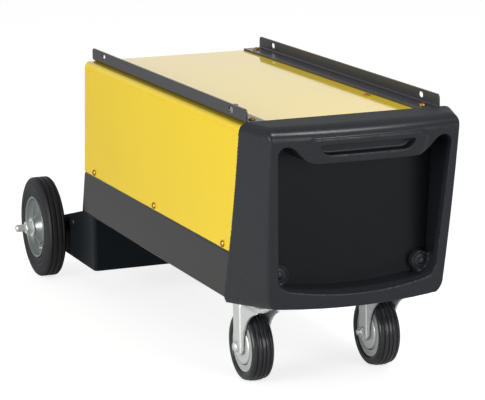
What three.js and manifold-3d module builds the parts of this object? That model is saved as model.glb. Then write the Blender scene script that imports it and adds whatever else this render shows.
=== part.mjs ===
// Welding cart: a folded steel body on two rear wheels and two front swivel casters.
// Millimetres, +Z up, the front faces -Y. While the cart is put together, Y = 0 is the lower
// rear corner of the cover and Z = 0 is the ground; the last lines centre it on its box.
import * as THREE from 'three';
import { mergeVertices } from 'three/addons/utils/BufferGeometryUtils.js';
import Module from 'manifold-3d';

// Fits
const fitGap = 0.3;
const seamGap = 0.5;

// Body shell
const bodyWidth = 310;
const bodyLength = 665;
const coverTop = 381;
const coverBottom = 204;
const coverSheet = 1.5;
const coverBend = 9;
const coverRearRake = 16;
const chassisBottom = 134;
const chassisSheet = 2;
const chassisBend = 5;
const chassisRearRake = 18;
const joggleRise = 2.5;
const flangeHeight = 24;
const flangeInset = 4;
const tongueLap = 12;

// Seam between the sheet metal and the front moulding, an arc that leans back towards the bottom
const seamSlope = 0.175;
const seamRadius = 1330;

// Front and rear panels and the bridge under the deck
const panelSheet = 1.5;
const panelMargin = 26;
const panelSetback = 1;
const panelFlange = 22;
const panelCut = 25;
const rearPanelInset = 10;
const bridgeSheet = 2;
const bridgeWidth = 42;
const bridgeHeight = 26;
const bridgeSetback = 153;
const deckScrewInset = 55;

// Front moulding
const bezelWall = 3;
const bezelProud = 1.5;
const bezelRise = 5;
const bezelBottom = 130;
const bezelSmile = 9;
const bezelSag = 0.12;
const bezelSagHeight = 90;
const bezelDepth = 65;
const bezelLean = 0.15;
const bezelTaper = 0.31;
const bezelBow = 8;
const bezelCorner = 8;
const bezelTopRound = 15;
const bezelBottomRound = 22;
const rollRadius = 15;
const rollDrop = 10;
const rollDropHeight = 60;

// Recess in the front moulding
const windowMarginTop = 30;
const windowMarginBottom = 39;
const windowTop = 360;
const windowBottom = 151;
const windowSmile = 8;
const windowCorner = 20;
const lobeCorner = 12;
const scallopHeight = 333;
const scallopHalf = 72;
const scallopRun = 20;
const scallopLead = 4;
const bossRadius = 14;
const bossFaceRadius = 11;
const bossDepth = 12;
const bossInset = 11;
const bossRise = 26;

// Grip pocket over the recess
const slotTop = 360;
const slotHeight = 14;
const slotHalfTop = 68;
const slotHalfBottom = 52;
const slotDepth = 12;
const gripRim = 15;
const gripRimTop = 9;
const gripRimBottom = 14;
const gripProud = 3;

// Rails on the deck
const railSheet = 2.5;
const railHeight = 20;
const railFoot = 30;
const railInset = 13;
const railBend = 5;
const railCorner = 6;
const railFrontGap = 8;
const railHole = 7;
const railHoleInset = 55;
const railHoleDrop = 8;
const railScrewInset = 20;

// Screws
const screwHead = 10;
const screwHeadHeight = 3.2;
const screwHeadEdge = 1.4;
const screwCrown = 6;
const screwShank = 5;
const screwLength = 9;
const bezelScrewLength = 14;
const coverScrewRise = 6.5;
const coverScrewRear = 51;
const coverScrewFront = 25;

// Rear wheels and axle
const rearDiameter = 164;
const tyreWidth = 32;
const tyreShoulder = 8;
const treadWidth = 23;
const beadWidth = 27;
const beadRise = 9;
const tyreThickness = 31;
const rimWidth = 32;
const rimWall = 4;
const rimLipWidth = 3;
const rimSlope = 4.5;
const webThickness = 14;
const spokeRise = 5;
const spokeAngle = 52;
const pocketEdge = 2.5;
const hubDiameter = 27;
const hubConeDiameter = 46;
const hubLength = 36;
const bushWall = 2.5;
const axleDiameter = 16;
const axleEndDiameter = 12;
const axleEndLength = 29;
const axleSetback = 175;
const crossHole = 4;
const crossHoleInset = 10;
const spacerLength = 4;
const spacerDiameter = 30;
const washerDiameter = 30;
const washerThickness = 2.5;
const nutFlats = 19;
const nutHeight = 10;
const grooveDepth = 2;
const grooveWidth = 2.4;
const grooveSpacing = 8;

// Axle bracket and bottle shelf
const bracketSheet = 3;
const bracketBend = 6;
const bracketInset = 5;
const bracketBottom = 46;
const bracketFront = 25;
const bracketSlopeStart = 30;
const bracketEndRadius = 14;
const bracketEndRun = 34;
const bracketFlange = 22;
const shelfSheet = 2.5;
const shelfLip = 18;
const shelfTabLength = 44;
const shelfAxleGap = 14;
const shelfBoltRise = 60;
const shelfBoltFront = 104;

// Front casters
const casterDiameter = 100;
const casterWidth = 32;
const casterSideInset = 59;
const casterInset = 78;
const casterTrail = 37;
const casterTreadThickness = 13;
const casterRimWall = 9.5;
const casterRimWidth = 27;
const casterWeb = 9;
const casterHubDiameter = 22;
const casterHubLength = 35;
const casterShoulder = 6;
const casterRib = 1.6;
const casterRibWidth = 4.2;
const casterRibSpacing = 7;
const dustCoverGap = 1.5;
const dustCoverSheet = 1.5;
const dustCoverProud = 1.5;
const dustCoverEdge = 1;
const casterBolt = 8;
const casterBoltFlats = 13;
const casterBoltHead = 5.5;
const casterBoltHeadDiameter = 16;
const casterBoltHeadEdge = 2;
const casterBoltCrown = 11;
const forkSheet = 3;
const forkBend = 9;
const forkFront = 25;
const forkSkirt = 4;
const forkSweepBack = 6;
const forkSweepDrop = 17;
const forkBoss = 13;
const cupHeight = 17;
const cupRim = 3;
const cupStep = 2;
const cupDiameter = 54;
const cupNeckDiameter = 42;
const kingBolt = 12;
const kingFlats = 19;
const kingHead = 7;
const kingNutHeight = 10;
const kingThread = 3;

// Facets of round pieces
const wheelSides = 28;
const casterSides = 20;
const pinSides = 12;
const screwSides = 8;

// Places worked out from the sizes above
const halfBody = bodyWidth / 2;
const rearRadius = rearDiameter / 2;
const casterRadius = casterDiameter / 2;
const rimRadius = rearRadius - tyreThickness;
const casterRimRadius = casterRadius - casterTreadThickness;
const casterRimBore = casterRimRadius - casterRimWall;
const deckUnderside = coverTop - coverSheet;
const flangeFace = halfBody - coverSheet - fitGap;
const flangeTop = coverBottom + flangeHeight;
const floorTop = chassisBottom + chassisSheet;
const panelFront = -bodyLength + panelSetback;
const panelHalf = halfBody - panelMargin;
const tongueHalf = panelHalf - panelCut;
const windowHalfTop = halfBody - windowMarginTop;
const windowHalfBottom = halfBody - windowMarginBottom;
const bossX = windowHalfBottom - bossInset;
const bossHeight = windowBottom + bossRise;
const casterX = halfBody - casterSideInset;
const casterY = casterInset - bodyLength;
const bezelTop = coverTop + bezelRise;
const railBase = coverTop + fitGap;
const railTop = railBase + railHeight;
const railFace = halfBody - railInset;
const bracketFace = halfBody - bracketInset;
const shelfBoltHeight = bracketBottom + shelfBoltRise;
const shelfBoltY = shelfBoltFront - bracketFront;
const hubInner = bracketFace + spacerLength + 2 * fitGap;
const rearWheelX = hubInner + hubLength / 2;
const hubOuter = hubInner + hubLength;
const axleShoulder = hubOuter + fitGap;
const washerOuter = axleShoulder + washerThickness + fitGap;
const axleEnd = axleShoulder + axleEndLength;

const wasm = await Module();
wasm.setup();

// A closed geometry as a solid that can be joined and cut
function solid(geometry) {
  geometry.deleteAttribute('normal');
  geometry.deleteAttribute('uv');
  const merged = mergeVertices(geometry, 1e-4);
  const vertProperties = new Float32Array(merged.attributes.position.array);
  const triVerts = new Uint32Array(merged.index.array);
  return new wasm.Manifold(new wasm.Mesh({ numProp: 3, vertProperties, triVerts }));
}

function geometryOf(piece) {
  const mesh = piece.getMesh();
  const geometry = new THREE.BufferGeometry();
  geometry.setAttribute('position', new THREE.BufferAttribute(mesh.vertProperties, 3));
  geometry.setIndex(new THREE.BufferAttribute(mesh.triVerts, 1));
  geometry.computeVertexNormals();
  return geometry;
}

function polygon(points) {
  return new THREE.Shape(points.map(([x, y]) => new THREE.Vector2(x, y)));
}

// Outlines drawn out along an axis: (Y, Z) outlines along X, (X, Z) along Y, (X, Y) along Z
const axisX = new THREE.Vector3(1, 0, 0);
const axisY = new THREE.Vector3(0, 1, 0);
const axisZ = new THREE.Vector3(0, 0, 1);
const drawnAlongX = new THREE.Matrix4().makeBasis(axisY, axisZ, axisX);
const drawnAlongY = new THREE.Matrix4().makeBasis(axisX, axisZ, axisY.clone().negate());

function drawOut(outline, depth, curveSegments) {
  return new THREE.ExtrudeGeometry(outline, { depth, bevelEnabled: false, curveSegments });
}

function prismX(outline, x0, x1, curveSegments = 2) {
  return solid(drawOut(outline, x1 - x0, curveSegments).translate(0, 0, x0).applyMatrix4(drawnAlongX));
}

function prismY(outline, y0, y1, curveSegments = 2) {
  return solid(drawOut(outline, y1 - y0, curveSegments).translate(0, 0, -y1).applyMatrix4(drawnAlongY));
}

function prismZ(outline, z0, z1, curveSegments = 2) {
  return solid(drawOut(outline, z1 - z0, curveSegments).translate(0, 0, z0));
}

function block(x0, x1, y0, y1, z0, z1) {
  const geometry = new THREE.BoxGeometry(x1 - x0, y1 - y0, z1 - z0);
  return solid(geometry.translate((x0 + x1) / 2, (y0 + y1) / 2, (z0 + z1) / 2));
}

function rodX(radius, x0, x1, y, z, sides = pinSides) {
  const geometry = new THREE.CylinderGeometry(radius, radius, x1 - x0, sides);
  return solid(geometry.rotateZ(Math.PI / 2).translate((x0 + x1) / 2, y, z));
}

function rodY(radius, y0, y1, x, z, sides = pinSides) {
  const geometry = new THREE.CylinderGeometry(radius, radius, y1 - y0, sides);
  return solid(geometry.translate(x, (y0 + y1) / 2, z));
}

function rodZ(radius, z0, z1, x, y, sides = pinSides) {
  const geometry = new THREE.CylinderGeometry(radius, radius, z1 - z0, sides);
  return solid(geometry.rotateX(Math.PI / 2).translate(x, y, (z0 + z1) / 2));
}

// A turned piece: the profile gives [radius, place on the axis], and a flat is lowest, not a corner
function turned(profile, sides) {
  const points = profile.map(([radius, place]) => new THREE.Vector2(radius, place));
  if (profile[0][0] > 0) {
    points.push(points[0].clone());
  }
  return new THREE.LatheGeometry(points, sides).rotateY(Math.PI / sides);
}

function turnedX(profile, sides) {
  return solid(turned(profile, sides).rotateZ(-Math.PI / 2));
}

function turnedZ(profile, sides) {
  return solid(turned(profile, sides).rotateX(Math.PI / 2));
}

// Radius of a faceted round piece whose flats lie on the true circle
function overFlats(radius, sides) {
  return radius / Math.cos(Math.PI / sides);
}

function ringProfile(bore, radius, from, to) {
  return [[bore, from], [radius, from], [radius, to], [bore, to]];
}

// An inverted U of folded sheet, seen along its length
function channel(half, bottom, top, sheet, bend) {
  const shape = new THREE.Shape();
  const inner = half - sheet;
  const centre = half - bend;
  shape.moveTo(-half, bottom);
  shape.lineTo(-inner, bottom);
  shape.lineTo(-inner, top - bend);
  shape.absarc(-centre, top - bend, bend - sheet, Math.PI, Math.PI / 2, true);
  shape.lineTo(centre, top - sheet);
  shape.absarc(centre, top - bend, bend - sheet, Math.PI / 2, 0, true);
  shape.lineTo(inner, bottom);
  shape.lineTo(half, bottom);
  shape.lineTo(half, top - bend);
  shape.absarc(centre, top - bend, bend, 0, Math.PI / 2, false);
  shape.lineTo(-centre, top);
  shape.absarc(-centre, top - bend, bend, Math.PI / 2, Math.PI, false);
  return shape;
}

// Y of the seam and of the front moulding's face, at a height
function seamAt(z) {
  const below = coverTop - z;
  return -bodyLength + seamSlope * below + below * below / (2 * seamRadius);
}

function frontAt(z) {
  return -bodyLength - bezelDepth + bezelLean * (coverTop - z);
}

// Points down the seam, just behind it
function seamLine(top, bottom) {
  const steps = 6;
  return Array.from({ length: steps + 1 }, (_, i) => {
    const z = top + (bottom - top) * i / steps;
    return [seamAt(z) + seamGap, z];
  });
}

// Places of the cover's side screws along its lower edge
const coverScrewHeight = coverBottom + coverScrewRise;
const coverScrewFirst = -coverScrewRear;
const coverScrewLast = seamAt(coverScrewHeight) + coverScrewFront;
const coverScrewPlaces = [coverScrewFirst, (coverScrewFirst + coverScrewLast) / 2, coverScrewLast];
const screwHole = screwShank / 2 + fitGap;

function chassisTray() {
  const shape = new THREE.Shape();
  const bandTop = coverBottom - seamGap - joggleRise;
  const joggleTop = bandTop + joggleRise;
  const bendHeight = chassisBottom + chassisBend;
  const bendPlace = halfBody - chassisBend;
  const wall = halfBody - chassisSheet;
  const flangeWall = flangeFace - chassisSheet;
  const innerBend = chassisBend - chassisSheet;
  shape.moveTo(-flangeFace, flangeTop);
  shape.lineTo(-flangeFace, joggleTop);
  shape.lineTo(-halfBody, bandTop);
  shape.lineTo(-halfBody, bendHeight);
  shape.absarc(-bendPlace, bendHeight, chassisBend, Math.PI, 1.5 * Math.PI, false);
  shape.lineTo(bendPlace, chassisBottom);
  shape.absarc(bendPlace, bendHeight, chassisBend, -0.5 * Math.PI, 0, false);
  shape.lineTo(halfBody, bandTop);
  shape.lineTo(flangeFace, joggleTop);
  shape.lineTo(flangeFace, flangeTop);
  shape.lineTo(flangeWall, flangeTop);
  shape.lineTo(flangeWall, joggleTop);
  shape.lineTo(wall, bandTop);
  shape.lineTo(wall, bendHeight);
  shape.absarc(bendPlace, bendHeight, innerBend, 0, -0.5 * Math.PI, true);
  shape.lineTo(-bendPlace, floorTop);
  shape.absarc(-bendPlace, bendHeight, innerBend, -0.5 * Math.PI, -Math.PI, true);
  shape.lineTo(-wall, bandTop);
  shape.lineTo(-flangeWall, joggleTop);
  shape.lineTo(-flangeWall, flangeTop);
  const side = polygon([
    [chassisRearRake, chassisBottom], [0, bandTop], [-flangeInset, flangeTop],
    ...seamLine(flangeTop, chassisBottom),
  ]);
  const tongueRear = seamAt(chassisBottom) + tongueLap;
  const tongue = block(-tongueHalf, tongueHalf, panelFront, tongueRear, chassisBottom, floorTop);
  let tray = prismY(shape, -bodyLength, chassisRearRake).intersect(prismX(side, -halfBody, halfBody));
  tray = tray.add(tongue);
  for (const place of coverScrewPlaces) {
    tray = tray.subtract(rodX(screwHole, -halfBody, halfBody, place, coverScrewHeight, screwSides));
  }
  for (const x of [-casterX, casterX]) {
    tray = tray.subtract(rodZ(kingBolt / 2 + fitGap, chassisBottom - 1, floorTop + 1, x, casterY));
  }
  return tray;
}

function cover() {
  const section = channel(halfBody, coverBottom, coverTop, coverSheet, coverBend);
  const side = polygon([[0, coverBottom], [-coverRearRake, coverTop], ...seamLine(coverTop, coverBottom)]);
  let sheet = prismY(section, -bodyLength, 0).intersect(prismX(side, -halfBody, halfBody));
  for (const place of coverScrewPlaces) {
    sheet = sheet.subtract(rodX(screwHole, -halfBody - 1, halfBody + 1, place, coverScrewHeight, screwSides));
  }
  for (const [x, y] of [...deckScrewPlaces(), ...railScrewPlaces()]) {
    sheet = sheet.subtract(rodZ(screwHole, deckUnderside - 1, coverTop + 1, x, y, screwSides));
  }
  return sheet;
}

function deckScrewPlaces() {
  const x = halfBody - deckScrewInset;
  const y = bridgeSetback - bodyLength;
  return [[-x, y], [x, y]];
}

// Ends of the rails, and their foot screws, which stand in the middle of the foot
const railRear = -coverRearRake;
const railFront = -bodyLength + railFrontGap;

function railScrewPlaces() {
  const x = railFace - railSheet - (railFoot - railSheet) / 2;
  const ends = [railRear - railScrewInset, railFront + railScrewInset];
  return ends.flatMap((y) => [[-x, y], [x, y]]);
}

function frontPanel() {
  const bottom = floorTop + fitGap;
  const top = deckUnderside - fitGap;
  const back = panelFront + panelSheet;
  const flangeEnd = panelFront + panelFlange;
  const section = polygon([
    [panelFront, bottom], [flangeEnd, bottom], [flangeEnd, bottom + panelSheet], [back, bottom + panelSheet],
    [back, top - panelSheet], [flangeEnd, top - panelSheet], [flangeEnd, top], [panelFront, top],
  ]);
  const face = polygon([
    [-panelHalf, top], [-panelHalf, bottom + panelCut], [-tongueHalf, bottom],
    [tongueHalf, bottom], [panelHalf, bottom + panelCut], [panelHalf, top],
  ]);
  let panel = prismX(section, -panelHalf, panelHalf).intersect(prismY(face, -bodyLength, 0));
  for (const x of [-bossX, bossX]) {
    panel = panel.subtract(rodY(screwHole, panelFront - 1, back + 1, x, bossHeight, screwSides));
  }
  return panel;
}

// Front outline of a piece that stands under the cover, cut off at its upper corners to clear the bends
function underBends(half, bottom, top) {
  const cut = coverBend;
  return polygon([
    [-half, bottom], [half, bottom], [half, top - cut],
    [half - cut, top], [cut - half, top], [-half, top - cut],
  ]);
}

function rearPanel() {
  const half = flangeFace - chassisSheet - fitGap;
  const bottom = floorTop + fitGap;
  const top = deckUnderside - fitGap;
  const rearBottom = -rearPanelInset + chassisRearRake;
  const rearTop = -rearPanelInset - coverRearRake;
  const section = polygon([
    [rearBottom, bottom], [rearTop, top],
    [rearTop - panelFlange, top], [rearTop - panelFlange, top - panelSheet],
    [rearTop - panelSheet, top - panelSheet], [rearBottom - panelSheet, bottom + panelSheet],
    [rearBottom - panelFlange, bottom + panelSheet], [rearBottom - panelFlange, bottom],
  ]);
  const face = prismY(underBends(half, bottom, top), -bodyLength, bodyLength);
  let panel = prismX(section, -half, half).intersect(face);
  for (const [x, y] of railScrewPlaces()) {
    panel = panel.subtract(rodZ(screwHole, top - panelSheet - 1, top + 1, x, y, screwSides));
  }
  return panel;
}

function innerBridge() {
  const half = halfBody - coverSheet - fitGap;
  const top = deckUnderside - fitGap;
  const bend = 2 * bridgeSheet;
  const section = channel(bridgeWidth / 2, top - bridgeHeight, top, bridgeSheet, bend);
  const middle = -bodyLength + bridgeSetback;
  const length = prismX(section, -half, half).translate([0, middle, 0]);
  let bridge = length.intersect(prismY(underBends(half, top - bridgeHeight, top), -bodyLength, 0));
  for (const [x, y] of deckScrewPlaces()) {
    bridge = bridge.subtract(rodZ(screwHole, top - bridgeSheet - 1, top + 1, x, y, screwSides));
  }
  return bridge;
}

// The front moulding's body, lofted over its height: the rear follows the seam, the sides draw in towards the
// front, the corners are quarter rounds, and the top face drops a little and rolls over into the front
function bezelLoft({ inset, proud, rear }) {
  const half = halfBody + bezelProud - inset;
  const top = bezelTop - inset;
  const bottom = bezelBottom + inset;
  const topRound = bezelTopRound - inset;
  const bottomRound = bezelBottomRound - inset;
  const quarter = [0, 0.25, 0.5, 0.75, 1].map((share) => share * Math.PI / 2);
  const roll = rollRadius - inset;
  const low = quarter.map((a) => {
    const drawn = 1 - Math.sin(a);
    return [bottom + bottomRound * (1 - Math.cos(a)), bottomRound * drawn, 0];
  });
  const high = quarter.map((a) => {
    const drawn = 1 - Math.cos(a);
    return [top - topRound * (1 - Math.sin(a)), topRound * drawn, roll * drawn];
  });
  const between = [0.25, 0.5, 0.75].map((share) => {
    const from = bottom + bottomRound;
    return [from + share * (top - topRound - from), 0, 0];
  });
  const levels = [...low, ...between, ...high];
  const corner = half - bezelTaper * bezelDepth;
  const fillet = bezelCorner - inset;
  const plan = new THREE.Shape();
  plan.moveTo(-half, rear);
  plan.lineTo(-half, 0);
  plan.lineTo(-corner - bezelTaper * fillet, fillet - bezelDepth);
  plan.quadraticCurveTo(-corner, -bezelDepth, fillet - corner, -bezelDepth);
  plan.quadraticCurveTo(0, -bezelDepth - 2 * bezelBow, corner - fillet, -bezelDepth);
  plan.quadraticCurveTo(corner, -bezelDepth, corner + bezelTaper * fillet, fillet - bezelDepth);
  plan.lineTo(half, 0);
  plan.lineTo(half, rear);
  const geometry = new THREE.ExtrudeGeometry(plan, {
    depth: levels.length - 1, steps: levels.length - 1, bevelEnabled: false, curveSegments: 5,
  });
  const place = geometry.attributes.position;
  for (let i = 0; i < place.count; i += 1) {
    const [z, drawnIn, drawnBack] = levels[Math.round(place.getZ(i))];
    const depth = seamAt(z) - frontAt(z) + proud - inset - drawnBack;
    const share = -place.getY(i) / bezelDepth;
    const forward = Math.max(share, 0);
    const taper = bezelTaper * forward;
    const width = (half - drawnIn - taper * depth) / (half - taper * bezelDepth);
    const y = share > 0 ? seamAt(z) - share * depth : seamAt(z) + place.getY(i);
    const sag = bezelSag * Math.max(bottom + bezelSagHeight - z, 0) / bezelSagHeight;
    const drop = rollDrop * forward * Math.max(z - top + rollDropHeight, 0) / rollDropHeight;
    place.setXYZ(i, place.getX(i) * width, y, z - sag * (y - frontAt(z)) - drop);
  }
  return solid(geometry);
}

// What lies below the moulding's lower edge, which sags in the middle and falls away to the rear
function underSmile(raise) {
  const shape = new THREE.Shape();
  shape.moveTo(-bodyWidth, 0);
  shape.lineTo(bodyWidth, 0);
  shape.lineTo(bodyWidth, bezelBottom + bezelSmile + raise);
  shape.lineTo(halfBody, bezelBottom + bezelSmile + raise);
  shape.quadraticCurveTo(0, bezelBottom - bezelSmile + raise, -halfBody, bezelBottom + bezelSmile + raise);
  shape.lineTo(-bodyWidth, bezelBottom + bezelSmile + raise);
  const below = drawOut(shape, 2 * bodyLength, 8).applyMatrix4(drawnAlongY);
  const fall = new THREE.Matrix4().makeShear(0, 0, 0, -bezelSag, 0, 0);
  const front = frontAt(bezelBottom);
  return solid(below.translate(0, -front, 0).applyMatrix4(fall).translate(0, front, 0));
}

// Outline of the recess, with its upper edge scalloped round the grip
function windowShape(grow) {
  const top = windowTop + grow;
  const low = windowBottom + windowSmile - grow;
  const halfTop = windowHalfTop + grow;
  const halfBottom = windowHalfBottom + grow;
  const corner = windowCorner + grow;
  const lobe = lobeCorner + grow;
  const scallop = scallopHeight + grow;
  const shape = new THREE.Shape();
  shape.moveTo(corner - halfBottom, low);
  shape.quadraticCurveTo(0, low - 2 * windowSmile, halfBottom - corner, low);
  shape.quadraticCurveTo(halfBottom, low + grow / 2, halfBottom, low + corner);
  shape.lineTo(halfTop, top - lobe);
  shape.quadraticCurveTo(halfTop, top, halfTop - lobe, top);
  const start = halfTop - lobe;
  const end = scallopHalf - grow;
  const middle = (start + end) / 2 + scallopLead;
  shape.bezierCurveTo(middle, top, start - scallopRun, scallop, end, scallop);
  shape.lineTo(-end, scallop);
  shape.bezierCurveTo(scallopRun - start, scallop, -middle, top, -start, top);
  shape.quadraticCurveTo(-halfTop, top, -halfTop, top - lobe);
  shape.lineTo(-halfBottom, low + corner);
  shape.quadraticCurveTo(-halfBottom, low + grow / 2, corner - halfBottom, low);
  return shape;
}

// A boat-shaped outline with rounded corners, wider at the top
function boatShape(halfTop, halfBottom, bottom, top, upperCorner) {
  const height = top - bottom;
  const shape = new THREE.Shape();
  shape.moveTo(-halfBottom, bottom);
  shape.lineTo(halfBottom, bottom);
  shape.quadraticCurveTo((halfTop + halfBottom) / 2, bottom, halfTop, top - height / 3);
  shape.quadraticCurveTo(halfTop + upperCorner / 2, top, halfTop - upperCorner, top);
  shape.lineTo(upperCorner - halfTop, top);
  shape.quadraticCurveTo(-halfTop - upperCorner / 2, top, -halfTop, top - height / 3);
  shape.quadraticCurveTo(-(halfTop + halfBottom) / 2, bottom, -halfBottom, bottom);
  return shape;
}

function frontBezel() {
  const ahead = -2 * bodyLength;
  const seat = panelFront - fitGap;
  const slotBottom = slotTop - slotHeight;
  const slotBack = frontAt(slotTop) + slotDepth;
  const slot = (grow) => boatShape(
    slotHalfTop + grow, slotHalfBottom + grow, slotBottom - grow, slotTop + grow, bezelWall + grow,
  );
  const gripPad = boatShape(
    slotHalfTop + gripRim, slotHalfBottom + gripRim,
    slotBottom - gripRimBottom, slotTop + gripRimTop, gripRim,
  );
  const outer = bezelLoft({ inset: 0, proud: 0, rear: 0 }).subtract(underSmile(0));
  const pad = bezelLoft({ inset: 0, proud: gripProud, rear: 0 }).intersect(prismY(gripPad, ahead, seat));
  const hollow = bezelLoft({ inset: bezelWall, proud: 0, rear: bezelDepth })
    .subtract(underSmile(bezelWall))
    .subtract(prismY(windowShape(bezelWall), ahead, seat, 4))
    .subtract(prismY(slot(bezelWall), ahead, slotBack + bezelWall, 4));
  const wellHalf = casterX + cupDiameter / 2 + bezelWall;
  const casterWell = block(-wellHalf, wellHalf, seat, 0, 0, floorTop + panelSheet + 2 * fitGap);
  let bezel = outer.add(pad).subtract(hollow).subtract(casterWell);
  bezel = bezel.subtract(prismY(windowShape(0), ahead, 0, 4));
  bezel = bezel.subtract(prismY(slot(0), ahead, slotBack, 4));
  for (const x of [-bossX, bossX]) {
    const cone = new THREE.CylinderGeometry(bossRadius, bossFaceRadius, bossDepth, pinSides);
    const boss = solid(cone.translate(x, seat - bossDepth / 2, bossHeight));
    bezel = bezel.add(boss.intersect(prismY(windowShape(bezelWall), ahead, seat, 4)));
    bezel = bezel.subtract(rodY(screwHole, seat - bossDepth - 1, seat + 1, x, bossHeight, screwSides));
  }
  return bezel;
}

// The right-hand rail: a folded angle, its upright towards the outside, with a hole near each end
function rail() {
  const inner = railFace - railSheet;
  const footEnd = railFace - railFoot;
  const innerBend = railBend - railSheet;
  const bendPlace = railFace - railBend;
  const section = new THREE.Shape();
  section.moveTo(railFace, railTop);
  section.lineTo(inner, railTop);
  section.lineTo(inner, railBase + railBend);
  section.absarc(bendPlace, railBase + railBend, innerBend, 0, -0.5 * Math.PI, true);
  section.lineTo(footEnd, railBase + railSheet);
  section.lineTo(footEnd, railBase);
  section.lineTo(bendPlace, railBase);
  section.absarc(bendPlace, railBase + railBend, railBend, -0.5 * Math.PI, 0, false);
  const side = new THREE.Shape();
  side.moveTo(railFront, railBase);
  side.lineTo(railRear, railBase);
  side.lineTo(railRear, railTop - railCorner);
  side.absarc(railRear - railCorner, railTop - railCorner, railCorner, 0, 0.5 * Math.PI, false);
  side.lineTo(railFront + railCorner, railTop);
  side.absarc(railFront + railCorner, railTop - railCorner, railCorner, 0.5 * Math.PI, Math.PI, false);
  let angle = prismY(section, railFront, railRear).intersect(prismX(side, footEnd, railFace));
  for (const y of [railRear - railHoleInset, railFront + railHoleInset]) {
    angle = angle.subtract(rodX(railHole / 2, footEnd, railFace + 1, y, railTop - railHoleDrop, pinSides));
  }
  for (const [x, y] of railScrewPlaces()) {
    angle = angle.subtract(rodZ(screwHole, railBase - 1, railBase + railSheet + 1, x, y, screwSides));
  }
  return angle;
}

// A pan-head screw along +Z, seated at the height 0
function screw(length = screwLength) {
  const head = screwHead / 2;
  const shank = screwShank / 2;
  return turnedZ([
    [0, -length], [shank, -length], [shank, fitGap], [head, fitGap],
    [head, fitGap + screwHeadEdge], [screwCrown / 2, fitGap + screwHeadHeight], [0, fitGap + screwHeadHeight],
  ], screwSides);
}

// A hexagon prism along +X between two places, with a bore or none
function hexagon(flats, from, to, bore) {
  const across = overFlats(flats / 2, 6);
  const body = turnedX([[0, from], [across, from], [across, to], [0, to]], 6);
  return bore ? body.subtract(rodX(bore, from - 1, to + 1, 0, 0)) : body;
}

function rearTyre() {
  const outer = overFlats(rearRadius, wheelSides);
  const bore = rimRadius + fitGap;
  const half = tyreWidth / 2;
  const shoulder = outer - tyreShoulder;
  const tread = treadWidth / 2;
  const bead = beadWidth / 2;
  const groove = outer - grooveDepth;
  const profile = [[bore, -bead], [bore + beadRise, -half], [shoulder, -half], [outer, -tread]];
  for (const place of [-grooveSpacing, 0, grooveSpacing]) {
    profile.push([outer, place - grooveWidth / 2], [groove, place], [outer, place + grooveWidth / 2]);
  }
  profile.push([outer, tread], [shoulder, half], [bore + beadRise, half], [bore, bead]);
  return turnedX(profile, wheelSides);
}

// Pressed rim: a ring with rolled lips, a dished web with raised spokes, and a coned hub
function rearRim() {
  const ring = rimRadius;
  const lip = rimWidth / 2;
  const ringBore = ring - rimWall;
  const web = webThickness / 2;
  const hub = hubDiameter / 2;
  const cone = hubConeDiameter / 2;
  const bore = axleDiameter / 2 + bushWall + 2 * fitGap;
  const end = hubLength / 2;
  let rim = turnedX([
    [bore, -end], [hub, -end], [cone, -web], [ringBore - rimSlope, -web], [ringBore, rimLipWidth - lip],
    [ringBore, -lip], [ring, -lip], [ring, lip], [ringBore, lip], [ringBore, lip - rimLipWidth],
    [ringBore - rimSlope, web], [cone, web], [hub, end], [bore, end],
  ], wheelSides);
  const pocketFloor = web - spokeRise;
  const spokes = 3;
  for (let i = 0; i < spokes; i += 1) {
    const pocket = new THREE.Shape();
    const middle = i * 2 * Math.PI / spokes;
    const spread = Math.PI / spokes - THREE.MathUtils.degToRad(spokeAngle / 2);
    pocket.absarc(0, 0, ringBore - rimSlope - pocketEdge, middle - spread, middle + spread, false);
    pocket.absarc(0, 0, cone + pocketEdge, middle + spread, middle - spread, true);
    rim = rim.subtract(prismX(pocket, pocketFloor, web + 1, 3));
    rim = rim.subtract(prismX(pocket, -web - 1, -pocketFloor, 3));
  }
  return rim;
}

function axle() {
  const bar = axleDiameter / 2;
  const end = axleEndDiameter / 2;
  const chamfer = end / 4;
  let shaft = turnedX([
    [0, -axleEnd], [end - chamfer, -axleEnd], [end, chamfer - axleEnd],
    [end, -axleShoulder], [bar, -axleShoulder], [bar, axleShoulder], [end, axleShoulder],
    [end, axleEnd - chamfer], [end - chamfer, axleEnd], [0, axleEnd],
  ], pinSides);
  for (const x of [crossHoleInset - axleEnd, axleEnd - crossHoleInset]) {
    shaft = shaft.subtract(rodY(crossHole / 2, -axleDiameter, axleDiameter, x, 0, screwSides));
  }
  return shaft;
}

// Side outline shared by the bracket's cheeks: level under the chassis, then sloping down to the axle
function cheekOutline() {
  const top = chassisBottom - fitGap;
  const shape = new THREE.Shape();
  const slope = Math.atan2(top - rearRadius - bracketEndRadius, axleSetback - bracketSlopeStart);
  const endTop = Math.PI / 2 - slope;
  shape.moveTo(-bracketFront, bracketBottom);
  shape.lineTo(axleSetback - bracketEndRun, bracketBottom);
  shape.absarc(axleSetback, rearRadius, bracketEndRadius, -Math.PI / 3, endTop, false);
  shape.lineTo(bracketSlopeStart, top);
  shape.lineTo(-bracketFront, top);
  return shape;
}

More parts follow.
